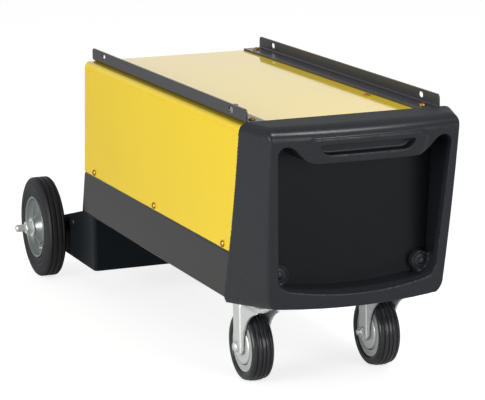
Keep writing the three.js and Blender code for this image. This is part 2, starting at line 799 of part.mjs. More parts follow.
function axleBracket() {
  const out = bracketFace;
  const inner = out - bracketSheet;
  const bend = bracketBend;
  const tail = axleSetback + 2 * bracketEndRadius;
  const top = chassisBottom - fitGap;
  const front = -bracketFront;
  const plan = new THREE.Shape();
  plan.moveTo(-out, tail);
  plan.lineTo(-out, front + bend);
  plan.absarc(bend - out, front + bend, bend, Math.PI, 1.5 * Math.PI, false);
  plan.lineTo(out - bend, front);
  plan.absarc(out - bend, front + bend, bend, -0.5 * Math.PI, 0, false);
  plan.lineTo(out, tail);
  plan.lineTo(inner, tail);
  plan.lineTo(inner, front + bend);
  plan.absarc(out - bend, front + bend, bend - bracketSheet, 0, -0.5 * Math.PI, true);
  plan.lineTo(bend - out, front + bracketSheet);
  plan.absarc(bend - out, front + bend, bend - bracketSheet, -0.5 * Math.PI, -Math.PI, true);
  plan.lineTo(-inner, tail);
  let bracket = prismZ(plan, bracketBottom, top).intersect(prismX(cheekOutline(), -out, out, 5));
  bracket = bracket.add(block(bend - out, out - bend, front, front + bracketFlange, top - bracketSheet, top));
  bracket = bracket.subtract(rodX(axleDiameter / 2 + fitGap, -out - 1, out + 1, axleSetback, rearRadius));
  return bracket.subtract(rodX(screwHole, -out - 1, out + 1, shelfBoltY, shelfBoltHeight, screwSides));
}

// Shelf between the cheeks: a floor with a rear lip and two upright tabs that take the bolts
function bottleShelf() {
  const half = bracketFace - bracketSheet - fitGap;
  const front = -bracketFront + bracketBend;
  const rear = axleSetback - axleDiameter / 2 - shelfAxleGap;
  const base = bracketBottom;
  const bolt = shelfBoltY;
  const tabTop = shelfBoltHeight + screwHead;
  const tab = polygon([
    [bolt - shelfTabLength, base], [bolt + shelfTabLength, base],
    [bolt + shelfTabLength / 4, tabTop], [bolt - shelfTabLength / 4, tabTop],
  ]);
  let shelf = block(-half, half, front, rear, base, base + shelfSheet);
  shelf = shelf.add(block(-half, half, rear - shelfSheet, rear, base, base + shelfLip));
  shelf = shelf.add(prismX(tab, half - shelfSheet, half));
  shelf = shelf.add(prismX(tab, -half, shelfSheet - half));
  return shelf.subtract(rodX(screwHole, -half - 1, half + 1, bolt, shelfBoltHeight, screwSides));
}

// Heights in a caster, from the chassis down
const cupTop = chassisBottom - fitGap;
const crownTop = cupTop - cupHeight - fitGap;
const crownUnder = crownTop - forkSheet;
const forkInner = casterHubLength / 2 + 3 * fitGap;
const forkOuter = forkInner + forkSheet;

function casterCup() {
  const bore = kingBolt / 2 + fitGap;
  const neck = cupNeckDiameter / 2;
  const rim = cupDiameter / 2;
  const low = cupTop - cupHeight;
  return turnedZ([
    [bore, low], [neck, low], [neck + cupStep, low + cupRim], [neck + cupStep, cupTop - cupRim - cupStep],
    [rim, cupTop - cupRim], [rim, cupTop], [bore, cupTop],
  ], casterSides);
}

// Fork of a caster, its king bolt over the origin and its wheel behind; the legs sweep back from the crown's
// front edge to the axle and stand upright at the rear
function casterFork() {
  const section = channel(forkOuter, 0, crownTop, forkSheet, forkBend);
  const side = new THREE.Shape();
  const legFront = casterTrail - forkBoss;
  const sweep = [legFront - forkSweepBack, crownUnder - forkSweepDrop];
  side.moveTo(-forkFront, crownTop);
  side.lineTo(-forkFront, crownUnder - forkSkirt);
  side.quadraticCurveTo(...sweep, legFront, casterRadius);
  side.absarc(casterTrail, casterRadius, forkBoss, Math.PI, 2 * Math.PI, false);
  side.lineTo(casterTrail + forkBoss, crownTop);
  return prismY(section, -casterDiameter, casterDiameter)
    .intersect(prismX(side, -forkOuter, forkOuter, 4))
    .subtract(rodZ(kingBolt / 2 + fitGap, crownUnder - 1, crownTop + 1, 0, 0))
    .subtract(rodX(casterBolt / 2 + fitGap, -forkOuter - 1, forkOuter + 1, casterTrail, casterRadius));
}

function kingBoltPiece() {
  const headTop = crownUnder - fitGap;
  const end = floorTop + fitGap + kingNutHeight + kingThread;
  const head = hexagon(kingFlats, 0, kingHead).rotate([0, -90, 0]).translate([0, 0, headTop - kingHead]);
  return head.add(rodZ(kingBolt / 2, headTop - kingHead / 2, end, 0, 0));
}

function kingNut() {
  const nut = hexagon(kingFlats, 0, kingNutHeight, kingBolt / 2 + fitGap);
  return nut.rotate([0, -90, 0]).translate([0, 0, floorTop + fitGap]);
}

function casterAxleBolt() {
  const seat = forkOuter + fitGap;
  const end = -forkOuter - 2 * fitGap - casterBoltHead - kingThread;
  const head = casterBoltHeadDiameter / 2;
  const shank = casterBolt / 2;
  return turnedX([
    [0, end], [shank, end], [shank, seat], [head, seat], [head, seat + casterBoltHeadEdge],
    [casterBoltCrown / 2, seat + casterBoltHead], [0, seat + casterBoltHead],
  ], pinSides);
}

function casterAxleNut() {
  const seat = -forkOuter - fitGap;
  return hexagon(casterBoltFlats, seat - casterBoltHead, seat, casterBolt / 2 + fitGap);
}

function casterCore() {
  const bore = casterBolt / 2 + fitGap;
  const hub = casterHubDiameter / 2;
  const half = casterHubLength / 2;
  const web = casterWeb / 2;
  const rim = casterRimRadius;
  const rimHalf = casterRimWidth / 2;
  return turnedX([
    [bore, -half], [hub, -half], [hub, -web], [casterRimBore, -web],
    [casterRimBore, -rimHalf], [rim, -rimHalf], [rim, rimHalf], [casterRimBore, rimHalf],
    [casterRimBore, web], [hub, web], [hub, half], [bore, half],
  ], casterSides);
}

function casterTread() {
  const outer = overFlats(casterRadius, casterSides);
  const bore = casterRimRadius + fitGap;
  const half = casterWidth / 2;
  const shoulder = bore + casterShoulder;
  const edge = outer - 4 * casterRib;
  const profile = [[bore, -casterRimWidth / 2], [shoulder, -half], [edge, -half + casterRib]];
  for (const place of [-casterRibSpacing, 0, casterRibSpacing]) {
    const crown = outer - Math.abs(place) / casterRibSpacing * casterRib;
    profile.push([crown, place - casterRibWidth / 2], [crown, place + casterRibWidth / 2]);
    if (place < casterRibSpacing) {
      profile.push([outer - 2 * casterRib, place + casterRibSpacing / 2]);
    }
  }
  profile.push([edge, half - casterRib], [shoulder, half], [bore, casterRimWidth / 2]);
  return turnedX(profile, casterSides);
}

// A dished cap in the recess of a caster wheel, its rim on the web and its face a little proud of the wheel
function dustCover() {
  const bore = casterHubDiameter / 2 + fitGap;
  const rim = casterRimBore - dustCoverGap;
  const seat = casterWeb / 2 + fitGap;
  const face = casterRimWidth / 2 + dustCoverProud;
  const inside = face - dustCoverSheet;
  const wall = rim - dustCoverSheet;
  return turnedX([
    [bore, inside], [wall, inside], [wall, seat], [rim, seat],
    [rim, face - dustCoverEdge], [rim - dustCoverEdge, face], [bore, face],
  ], casterSides);
}

// Finishes
function finish(color, roughness, metalness) {
  return new THREE.MeshStandardMaterial({ color, roughness, metalness });
}

const glossYellow = finish(0xf2d235, 0.25, 0);
const satinGrey = finish(0x4c4d50, 0.45, 0.2);
const satinBlack = finish(0x17191d, 0.5, 0.1);
const mouldedGrey = finish(0x383b40, 0.5, 0);
const railGrey = finish(0x55575b, 0.45, 0.2);
const zinc = finish(0xb9bfc0, 0.35, 1);
const goldZinc = finish(0xb8862f, 0.35, 1);
const blackRubber = finish(0x202126, 0.8, 0);
const greyNylon = finish(0xb6b8b8, 0.5, 0);
const blackSteel = finish(0x1c1d20, 0.4, 0.6);

const cart = new THREE.Group();

function put(name, piece, material, parent = cart) {
  const mesh = new THREE.Mesh(geometryOf(piece), material);
  mesh.name = name;
  parent.add(mesh);
  return mesh;
}

put('chassis_tray', chassisTray(), satinGrey);
put('cover', cover(), glossYellow);
put('front_panel', frontPanel(), satinBlack);
put('rear_panel', rearPanel(), satinGrey);
put('front_bezel', frontBezel(), mouldedGrey);
put('inner_bridge', innerBridge(), satinGrey);
put('axle_bracket', axleBracket(), satinBlack);
put('bottle_shelf', bottleShelf(), satinBlack);
put('axle', axle(), zinc).position.set(0, axleSetback, rearRadius);
put('right_rail', rail(), railGrey);
put('left_rail', rail(), railGrey).scale.x = -1;

for (const [side, sign] of [['left', -1], ['right', 1]]) {
  const wheel = new THREE.Group();
  wheel.position.set(sign * rearWheelX, axleSetback, rearRadius);
  wheel.scale.x = sign;
  cart.add(wheel);
  const bush = axleDiameter / 2 + fitGap;
  put(`${side}_rear_tyre`, rearTyre(), blackRubber, wheel);
  put(`${side}_rear_rim`, rearRim(), zinc, wheel);
  const bushRing = ringProfile(bush, bush + bushWall, -hubLength / 2, hubLength / 2);
  put(`${side}_rear_bush`, turnedX(bushRing, pinSides), greyNylon, wheel);

  const hardware = new THREE.Group();
  hardware.position.set(0, axleSetback, rearRadius);
  hardware.scale.x = sign;
  cart.add(hardware);
  const spacerStart = bracketFace + fitGap;
  const spacer = ringProfile(bush, spacerDiameter / 2, spacerStart, spacerStart + spacerLength);
  put(`${side}_rear_spacer`, turnedX(spacer, pinSides), zinc, hardware);
  const endBore = axleEndDiameter / 2 + fitGap;
  const washerStart = axleShoulder + fitGap;
  const washer = ringProfile(endBore, washerDiameter / 2, washerStart, washerStart + washerThickness);
  put(`${side}_rear_washer`, turnedX(washer, pinSides), zinc, hardware);
  const nutStart = washerOuter + fitGap;
  put(`${side}_rear_nut`, hexagon(nutFlats, nutStart, nutStart + nutHeight, endBore), zinc, hardware);

  const caster = new THREE.Group();
  caster.position.set(sign * casterX, casterY, 0);
  caster.scale.x = sign;
  cart.add(caster);
  put(`${side}_caster_cup`, casterCup(), zinc, caster);
  put(`${side}_caster_king_bolt`, kingBoltPiece(), zinc, caster);
  put(`${side}_caster_king_nut`, kingNut(), zinc, caster);
  put(`${side}_caster_fork`, casterFork(), zinc, caster);
  const casterAxle = new THREE.Group();
  casterAxle.position.set(0, casterTrail, casterRadius);
  caster.add(casterAxle);
  put(`${side}_caster_axle_bolt`, casterAxleBolt(), zinc, casterAxle);
  put(`${side}_caster_axle_nut`, casterAxleNut(), zinc, casterAxle);
  put(`${side}_caster_core`, casterCore(), greyNylon, casterAxle);
  put(`${side}_caster_tread`, casterTread(), blackRubber, casterAxle);
  put(`${side}_caster_dust_cover_outer`, dustCover(), zinc, casterAxle);
  put(`${side}_caster_dust_cover_inner`, dustCover(), zinc, casterAxle).scale.x = -1;

  ['rear', 'middle', 'front'].forEach((place, i) => {
    const mesh = put(`cover_screw_${side}_${place}`, screw(), goldZinc);
    mesh.position.set(sign * halfBody, coverScrewPlaces[i], coverScrewHeight);
    mesh.rotation.y = sign * Math.PI / 2;
  });
  const bolt = put(`shelf_bolt_${side}`, screw(), blackSteel);
  bolt.position.set(sign * bracketFace, shelfBoltY, shelfBoltHeight);
  bolt.rotation.y = sign * Math.PI / 2;
  const bezelScrew = put(`bezel_screw_${side}`, screw(bezelScrewLength), blackSteel);
  bezelScrew.position.set(sign * bossX, panelFront - fitGap - bossDepth, bossHeight);
  bezelScrew.rotation.x = Math.PI / 2;
}

deckScrewPlaces().forEach(([x, y], i) => {
  put(`deck_screw_${['left', 'right'][i]}`, screw(), goldZinc).position.set(x, y, coverTop);
});
railScrewPlaces().forEach(([x, y], i) => {
  const name = `rail_screw_${['left', 'right'][i % 2]}_${i < 2 ? 'rear' : 'front'}`;
  put(name, screw(), goldZinc).position.set(x, y, railBase + railSheet);
});

// The origin is on the ground, under the middle of the cart's box
const box = new THREE.Box3().setFromObject(cart);
cart.position.set(0, -(box.min.y + box.max.y) / 2, 0);

const weldingCart = new THREE.Group();
weldingCart.add(cart);

export default weldingCart;
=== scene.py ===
import math

import bmesh
import bpy
from mathutils import Matrix, Vector
from mathutils.geometry import interpolate_bezier


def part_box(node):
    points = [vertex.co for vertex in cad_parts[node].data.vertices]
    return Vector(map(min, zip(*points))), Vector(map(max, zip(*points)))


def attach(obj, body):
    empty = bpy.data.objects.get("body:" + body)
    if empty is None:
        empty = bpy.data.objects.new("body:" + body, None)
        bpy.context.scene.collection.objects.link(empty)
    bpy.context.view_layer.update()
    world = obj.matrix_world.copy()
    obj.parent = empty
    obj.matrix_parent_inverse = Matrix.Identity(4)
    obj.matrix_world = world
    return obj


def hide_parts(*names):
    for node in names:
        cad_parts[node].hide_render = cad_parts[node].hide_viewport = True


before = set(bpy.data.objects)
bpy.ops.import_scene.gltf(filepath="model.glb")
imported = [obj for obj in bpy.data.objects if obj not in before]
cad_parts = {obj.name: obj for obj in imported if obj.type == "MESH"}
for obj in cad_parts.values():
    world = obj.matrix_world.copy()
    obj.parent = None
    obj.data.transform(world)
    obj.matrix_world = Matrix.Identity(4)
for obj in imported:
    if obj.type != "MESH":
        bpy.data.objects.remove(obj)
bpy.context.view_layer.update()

# Chassis tray: a pan folded from 2 mm steel sheet, whose sides show as the dark band under the cover.
# It is powder coated in a satin charcoal that mirrors the tyre beside it a little, and its sheared
# edges are eased by the coat. The cover hangs on its flanges.
mm = 0.001


class Shade:
    """A socket of a material's node tree, so that shader maths reads as plain expressions."""

    def __init__(self, tree, socket=None):
        self.tree = tree
        self.socket = socket

    def node(self, kind, settings, sockets, out=0):
        made = self.tree.nodes.new("ShaderNode" + kind)
        for key, value in settings.items():
            if key == "stops":
                for element, (place, colour) in zip(made.color_ramp.elements, value):
                    element.position = place
                    element.color = colour
            else:
                setattr(made, key, value)
        for key, value in sockets.items():
            if isinstance(value, Shade):
                self.tree.links.new(value.socket, made.inputs[key])
            else:
                made.inputs[key].default_value = value
        return Shade(self.tree, made.outputs[out])

    def maths(self, operation, first, second):
        return self.node("Math", {"operation": operation}, {0: first, 1: second})

    def __add__(self, other):
        return self.maths("ADD", self, other)

    def __radd__(self, other):
        return self.maths("ADD", other, self)

    def __sub__(self, other):
        return self.maths("SUBTRACT", self, other)

    def __rsub__(self, other):
        return self.maths("SUBTRACT", other, self)

    def __mul__(self, other):
        return self.maths("MULTIPLY", self, other)

    def __rmul__(self, other):
        return self.maths("MULTIPLY", other, self)

    def noise(self, scale, detail=2.0, roughness=0.5):
        sockets = {"Vector": self, "Scale": scale, "Detail": detail, "Roughness": roughness}
        return self.node("TexNoise", {}, sockets)

    def between(self, first, second):
        return self.node("Mix", {"data_type": "RGBA"}, {0: self, 6: first, 7: second}, out=2)

    def bump(self, distance, strength=1.0):
        return self.node("Bump", {}, {"Strength": strength, "Distance": distance, "Height": self})


def tint(red, green, blue):
    """A colour as a camera shows it, 0 to 255, for a shader socket."""
    levels = (level / 255 for level in (red, green, blue))
    linear = [v / 12.92 if v <= 0.04045 else ((v + 0.055) / 1.055) ** 2.4 for v in levels]
    return (*linear, 1.0)


def new_finish(name):
    """A material, its Object coordinates, and a call that sets or links the shader's sockets."""
    material = bpy.data.materials.new(name)
    material.use_nodes = True
    tree = material.node_tree
    shader = tree.nodes["Principled BSDF"]
    where = Shade(tree).node("TexCoord", {}, {}, "Object")

    def wear(**sockets):
        for key, value in sockets.items():
            socket = shader.inputs[key.replace("_", " ").title().replace("Ior", "IOR")]
            if isinstance(value, Shade):
                tree.links.new(value.socket, socket)
            else:
                socket.default_value = value

    return material, where, wear


def powder_coat(name, deep, pale, roughness, pebble, gloss=0.5):
    """Baked paint: a finely pebbled skin whose tone and gloss drift a little over the sheet."""
    material, where, wear = new_finish(name)
    drift = where.noise(9, 3)
    fleck = where.noise(420, 2, 0.6)
    wear(base_color=(0.6 * drift + 0.4 * fleck).between(deep, pale))
    wear(roughness=roughness + 0.08 * (drift - 0.5) + 0.04 * (fleck - 0.5))
    wear(normal=where.noise(pebble, 2).bump(0.03 * mm, 0.4), specular_ior_level=gloss)
    return material


def sheet_from(node):
    """A copy of a CAD node as clean faces, ready to have its edges rounded."""
    bm = bmesh.new()
    bm.from_mesh(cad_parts[node].data)
    bmesh.ops.remove_doubles(bm, verts=bm.verts, dist=0.01 * mm)
    bmesh.ops.dissolve_limit(bm, angle_limit=math.radians(1), verts=bm.verts, edges=bm.edges)
    return bm


def as_object(bm, name):
    bmesh.ops.recalc_face_normals(bm, faces=bm.faces)
    mesh = bpy.data.meshes.new(name)
    bm.to_mesh(mesh)
    bm.free()
    made = bpy.data.objects.new(name, mesh)
    bpy.context.scene.collection.objects.link(made)
    return made


def fit(piece, body, slot, material, *nodes, edge=0.5 * mm, segments=3):
    """Rounds the piece's edges, gives it its finish, and sets it on its body in place of its CAD nodes."""
    piece.data.materials.clear()
    piece.data.materials.append(material)
    piece.data.shade_smooth()
    if edge:
        rounding = piece.modifiers.new("rounded edges", "BEVEL")
        rounding.width = edge
        rounding.segments = segments
        rounding.limit_method = "ANGLE"
        rounding.angle_limit = math.radians(34)
        rounding.use_clamp_overlap = True
    weighted = piece.modifiers.new("face normals", "WEIGHTED_NORMAL")
    weighted.keep_sharp = True
    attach(piece, body)
    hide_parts(*nodes)
    return piece


charcoal_paint = powder_coat("charcoal_paint", tint(26, 27, 29), tint(31, 32, 34), 0.13, 900, 0.24)
tray = as_object(sheet_from("chassis_tray"), "tray")
fit(tray, "chassis", "grey_paint", charcoal_paint, "chassis_tray")

# Rear panel and the bridge under the deck: folded from thinner sheet in the same charcoal coat.
# The panel closes the tail, and the bridge stiffens the deck where its two screws go in.
tail_panel = as_object(sheet_from("rear_panel"), "tail_panel")
fit(tail_panel, "chassis", "grey_paint", charcoal_paint, "rear_panel")
deck_bridge = as_object(sheet_from("inner_bridge"), "deck_bridge")
fit(deck_bridge, "chassis", "grey_paint", charcoal_paint, "inner_bridge")

# Front panel, axle bracket and bottle shelf: folded steel in a plain black coat. The panel stands at the
# back of the front recess, the bracket is welded under the tail and carries the axle in its cheeks, and
# the shelf is bolted between them.
black_paint = powder_coat("black_paint", tint(20, 25, 29), tint(25, 31, 35), 0.34, 1100, 0.1)
# The panel's coat is the same black made darker: painted shade for its place at the back of the recess.
shaded_panel_paint = powder_coat("shaded_panel_paint", tint(10, 15, 19), tint(14, 20, 24), 0.34, 1100, 0.2)
recess_panel = as_object(sheet_from("front_panel"), "recess_panel")
fit(recess_panel, "chassis", "black_paint", shaded_panel_paint, "front_panel")
bracket_sheet = as_object(sheet_from("axle_bracket"), "axle_bracket_sheet")
fit(bracket_sheet, "chassis", "black_paint", black_paint, "axle_bracket", edge=0.8 * mm)
shelf_tray = as_object(sheet_from("bottle_shelf"), "shelf_tray")
fit(shelf_tray, "chassis", "black_paint", black_paint, "bottle_shelf")

# Axle: a turned steel bar, stepped down at its ends for the nuts and cross-drilled for a pin. It is zinc
# plated with a bluish passivate, as are its spacers, washers and nuts, which hold the wheels on it.
axle_low, axle_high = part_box("axle")
axle_y = (axle_low.y + axle_high.y) / 2
axle_z = (axle_low.z + axle_high.z) / 2


def zinc_plate(name, cool, warm, low, high, metal):
    """Plated steel: a bright metal under a thin haze, with a faint crystal pattern and a blue-grey drift."""
    material, where, wear = new_finish(name)
    cloud = where.noise(55, 4)
    crystal = where.node("TexVoronoi", {}, {"Vector": where, "Scale": 480.0}, out=0)
    wear(base_color=(0.75 * cloud + 0.25 * crystal).between(cool, warm))
    wear(metallic=metal, roughness=low + (high - low) * (0.6 * cloud + 0.4 * crystal))
    wear(normal=where.noise(1500, 2).bump(0.02 * mm, 0.5))
    return material


def turned(profile, centre, axis="X", steps=72):
    """A turned piece: (place along the axis, radius) points, closed to a ring if they stay off the axis."""
    along = Vector([1 if letter == axis else 0 for letter in "XYZ"])
    out = Vector((0, 1, 0)) if axis == "Z" else Vector((0, 0, 1))
    bm = bmesh.new()
    rim = [bm.verts.new(Vector(centre) + along * place + out * radius) for place, radius in profile]
    edges = [bm.edges.new(pair) for pair in zip(rim, rim[1:])]
    if profile[0][1] > 0:
        edges.append(bm.edges.new((rim[-1], rim[0])))
    bmesh.ops.spin(bm, geom=rim + edges, cent=centre, axis=along, angle=2 * math.pi, steps=steps,
                   use_merge=True)
    bmesh.ops.remove_doubles(bm, verts=bm.verts, dist=0.001 * mm)
    return bm


def carve(body, tool, operation="DIFFERENCE"):
    """Cuts, joins or intersects the body with the tool, which is used up."""
    cut = body.modifiers.new("cut", "BOOLEAN")
    cut.operation = operation
    cut.solver = "EXACT"
    cut.object = tool
    settle(body)
    bpy.data.objects.remove(tool)
    return body


def settle(piece):
    """Makes the modifiers' result the piece's own mesh."""
    graph = bpy.context.evaluated_depsgraph_get()
    final = bpy.data.meshes.new_from_object(piece.evaluated_get(graph))
    piece.modifiers.clear()
    piece.data = final
    return piece


zinc = zinc_plate("zinc", tint(230, 235, 233), tint(245, 248, 246), 0.28, 0.42, 0.6)
bar_radius = 8.0 * mm
end_radius = 6.0 * mm
end_length = 29.0 * mm
end_chamfer = 1.5 * mm
pin_hole = 2.2 * mm
pin_hole_inset = 10.0 * mm
running_gap = 0.3 * mm
wheel_nut_flats = 19.0 * mm
shoulder = axle_high.x - end_length
axle_bar = as_object(turned([
    (-axle_high.x, 0), (-axle_high.x, end_radius - end_chamfer), (end_chamfer - axle_high.x, end_radius),
    (-shoulder, end_radius), (-shoulder, bar_radius), (shoulder, bar_radius), (shoulder, end_radius),
    (axle_high.x - end_chamfer, end_radius), (axle_high.x, end_radius - end_chamfer), (axle_high.x, 0),
], (0, axle_y, axle_z), steps=40), "axle_bar")
for place in (pin_hole_inset - axle_high.x, axle_high.x - pin_hole_inset):
    drill = turned([(-bar_radius, 0), (-bar_radius, pin_hole), (bar_radius, pin_hole), (bar_radius, 0)],
                   (place, axle_y, axle_z), "Y", 20)
    carve(axle_bar, as_object(drill, "drill"))
fit(axle_bar, "chassis", "zinc", zinc, "axle", edge=0.3 * mm)


def ring(node, axis, hole):
    """A plain turned ring that fills a CAD node's box, with the given hole radius."""
    low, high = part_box(node)
    middle = (low + high) / 2
    half = (high - low) / 2
    index = "XYZ".index(axis)
    length = half[index]
    radius = max(half[i] for i in range(3) if i != index)
    return turned([(-length, hole), (-length, radius), (length, radius), (length, hole)], middle, axis, 48)


def hex_nut(node, axis, hole, flats):
    """A hexagon nut with its corners turned off at both ends, in a CAD node's box."""
    low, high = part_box(node)
    middle = (low + high) / 2
    index = "XYZ".index(axis)
    length = (high[index] - low[index]) / 2
    corner = flats / 2 / math.cos(math.pi / 6)
    turn = {"X": Matrix.Rotation(math.pi / 2, 4, "Y"), "Z": Matrix.Identity(4)}[axis]
    prism = bmesh.new()
    bmesh.ops.create_cone(prism, cap_ends=True, segments=6, radius1=corner, radius2=corner, depth=2 * length,
                          matrix=Matrix.Translation(middle) @ turn)
    nut = as_object(prism, node + "_hexagon")
    face = flats / 2 - 0.3 * mm
    cap = 1.28 * (corner - flats / 2)
    turned_off = turned([
        (-length, 0), (-length, face), (cap - length, corner),
        (length - cap, corner), (length, face), (length, 0),
    ], middle, axis, 48)
    carve(nut, as_object(turned_off, "turned_off"), "INTERSECT")
    through = 2 * length
    bore = turned([(-through, 0), (-through, hole), (through, hole), (through, 0)], middle, axis, 32)
    return carve(nut, as_object(bore, "bore"))


for side in ("left", "right"):
    spacer = as_object(ring(side + "_rear_spacer", "X", bar_radius + running_gap), side + "_wheel_spacer")
    fit(spacer, "chassis", "zinc", zinc, side + "_rear_spacer")
    washer = as_object(ring(side + "_rear_washer", "X", end_radius + running_gap), side + "_wheel_washer")
    fit(washer, "chassis", "zinc", zinc, side + "_rear_washer", edge=0.4 * mm)
    nut = hex_nut(side + "_rear_nut", "X", end_radius + running_gap, wheel_nut_flats)
    nut.name = side + "_wheel_nut"
    fit(nut, "chassis", "zinc", zinc, side + "_rear_nut", edge=0.25 * mm, segments=2)

# Rear wheels: a disc pressed from steel with a rolled lip, three raised spokes and a coned hub, zinc
# plated. A solid rubber tyre with three grooves is stretched over it, and a nylon bush runs on the axle.
spoke_count = 3
spoke_half = 13.5 * mm
pocket_inner = 25.5 * mm
pocket_outer = 40.5 * mm
pocket_corner = 6.0 * mm
pocket_slope = 2.2 * mm
pocket_depth = 5.0 * mm
web_reach = 8.0 * mm


def smooth_step(low, high, value):
    share = min(max((value - low) / (high - low), 0.0), 1.0)
    return share * share * (3 - 2 * share)


def pressed_rim(centre):
    """The rim as a turned section, pressed in between its spokes."""
    section = [(18.0, 11.2), (18.0, 13.0), (17.4, 13.8), (9.6, 20.4), (7.6, 22.6), (7.0, 24.4)]
    section += [(7.0, 25.5 + step) for step in range(16)]
    section += [(7.2, 41.8), (8.2, 43.2), (10.0, 44.8), (12.0, 46.0), (13.6, 46.6), (14.8, 47.0), (15.8, 47.8),
                (16.2, 48.9), (16.0, 50.1), (15.2, 51.0)]
    half = [(place * mm, radius * mm) for place, radius in section]
    other = [(-place, radius) for place, radius in reversed(half)]
    bm = turned(half + other, centre, "X", 180)
    for vert in bm.verts:
        offset = vert.co - Vector(centre)
        radius = math.hypot(offset.y, offset.z)
        turn = math.atan2(offset.z, -offset.y) % (2 * math.pi / spoke_count)
        from_spoke = min(turn, 2 * math.pi / spoke_count - turn)
        across = radius * math.sin(from_spoke) - spoke_half
        along = min(radius - pocket_inner, pocket_outer - radius)
        inside = pocket_corner - math.hypot(max(pocket_corner - across, 0), max(pocket_corner - along, 0))
        if abs(offset.x) < web_reach:
            vert.co.x -= math.copysign(pocket_depth * smooth_step(0, pocket_slope, inside), offset.x)
    return bm


def solid_tyre(centre):
    """The tyre's section: bead, bulged wall with a ridge, square shoulder and a grooved tread."""
    wall = [(13.4, 51.3), (14.6, 52.4), (15.6, 54.4), (16.2, 57.4), (16.2, 60.2), (15.4, 61.0),
            (15.5, 63.0), (16.4, 63.8), (16.5, 68.0), (16.3, 70.4), (15.4, 71.2), (15.3, 73.2),
            (15.6, 74.0), (14.8, 77.2), (13.4, 80.2), (11.8, 81.6), (10.4, 82.0)]
    grooves = [(9.6, 82.0), (9.1, 80.0), (7.4, 80.0), (6.9, 82.0), (1.4, 82.0), (0.9, 80.0)]
    half = [(place * mm, radius * mm) for place, radius in wall + grooves]
    other = [(-place, radius) for place, radius in reversed(half)]
    return turned(half + other, centre, "X", 108)


def tyre_rubber(name, deep, dusty, roughness):
    """Moulded rubber: dark, matt, with a faint dusty bloom and fine moulding marks."""
    material, where, wear = new_finish(name)
    bloom = where.noise(38, 5, 0.6)
    grain = where.noise(900, 3)
    wear(base_color=(0.7 * bloom + 0.3 * grain).between(deep, dusty))
    wear(roughness=roughness + 0.16 * (bloom - 0.5) + 0.10 * (grain - 0.5))
    wear(normal=grain.bump(0.06 * mm, 0.7))
    return material


def nylon(name, deep, pale):
    """Moulded nylon: slightly translucent looking, satin, with soft flow marks."""
    material, where, wear = new_finish(name)
    flow = where.noise(24, 4)
    wear(base_color=flow.between(deep, pale), roughness=0.38 + 0.14 * (flow - 0.5))
    wear(normal=where.noise(700, 2).bump(0.03 * mm, 0.5))
    return material


black_rubber = tyre_rubber("black_rubber", tint(17, 18, 21), tint(33, 34, 38), 0.55)
grey_nylon = nylon("grey_nylon", tint(168, 172, 170), tint(190, 193, 190))
dull_zinc = zinc_plate("dull_zinc", tint(132, 142, 140), tint(164, 171, 168), 0.26, 0.42, 0.75)
for side in ("left", "right"):
    low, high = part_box(side + "_rear_tyre")
    hub = (low + high) / 2
    body = side + "_rear_wheel"
    rim = as_object(pressed_rim(hub), side + "_pressed_rim")
    fit(rim, body, "zinc", dull_zinc, side + "_rear_rim", edge=0)
    tyre = as_object(solid_tyre(hub), side + "_solid_tyre")
    fit(tyre, body, "tyre_rubber", black_rubber, side + "_rear_tyre")
    bush = as_object(ring(side + "_rear_bush", "X", bar_radius + running_gap), side + "_hub_bush")
    fit(bush, body, "nylon", grey_nylon, side + "_rear_bush")

# Casters: a bearing cup held under the tray by a king bolt, and a fork pressed from 3 mm steel that
# swings on it, both zinc plated. The fork's legs sweep back to the axle bolt.
fork_sheet = 3.0 * mm
fork_bend = 9.0 * mm
fork_boss = 13.0 * mm
fork_skirt = 4.0 * mm
fork_sweep_back = 6.0 * mm
fork_sweep_drop = 17.0 * mm
joggle = 1.2 * mm
toe_in = 0.045
joggle_place = 26.5 * mm
caster_radius = 50.0 * mm
caster_trail = 37.0 * mm
crown_front = 25.0 * mm
king_hole = 6.3 * mm
king_flats = 19.0 * mm
bolt_hole = 4.3 * mm
bolt_flats = 13.0 * mm


def curve(start, pull, push, end, steps=10):
    """Points along a smooth curve from start to end, without its end."""
    points = interpolate_bezier(*(Vector((*p, 0)) for p in (start, pull, push, end)), steps + 1)
    return [(p.x, p.y) for p in points[:-1]]


def arc(centre, radius, start, end, steps=10):
    """Points along a round, without its end; the angles are in degrees."""
    angles = (math.radians(start + (end - start) * i / steps) for i in range(steps))
    return [(centre[0] + radius * math.cos(a), centre[1] + radius * math.sin(a)) for a in angles]


def drawn_out(outline, axis, start, end):
    """An outline drawn out along an axis: (Y, Z) points along X, (X, Z) along Y."""
    way = Vector([end - start if letter == axis else 0 for letter in "XYZ"])
    bm = bmesh.new()
    places = [(start, u, v) if axis == "X" else (u, start, v) for u, v in outline]
    face = bm.faces.new([bm.verts.new(place) for place in places])
    pulled = bmesh.ops.extrude_face_region(bm, geom=[face])
    moved = [item for item in pulled["geom"] if isinstance(item, bmesh.types.BMVert)]
    bmesh.ops.translate(bm, verts=moved, vec=way)
    return bm


def folded_channel(half, bottom, top, start, end, sheet, bend):
    """An inverted U of folded sheet along Y, as a closed solid with true bends."""
    bm = bmesh.new()
    corners = ((-half, bottom), (-half, top), (half, top), (half, bottom))
    line = [bm.verts.new((x, start, z)) for x, z in corners]
    edges = [bm.edges.new(pair) for pair in zip(line, line[1:])]
    pulled = bmesh.ops.extrude_edge_only(bm, edges=edges)
    moved = [item for item in pulled["geom"] if isinstance(item, bmesh.types.BMVert)]
    bmesh.ops.translate(bm, verts=moved, vec=(0, end - start, 0))
    folds = [e for e in bm.edges if abs(e.verts[0].co.y - e.verts[1].co.y) > mm and len(e.link_faces) == 2]
    bmesh.ops.bevel(bm, geom=folds, offset=bend, segments=8, profile=0.5, affect="EDGES", material=-1)
    bmesh.ops.recalc_face_normals(bm, faces=bm.faces)
    inside = [f for f in bm.faces if f.normal.z < -0.5]
    if inside:
        bmesh.ops.reverse_faces(bm, faces=bm.faces)
    bmesh.ops.solidify(bm, geom=bm.faces[:], thickness=sheet)
    return bm


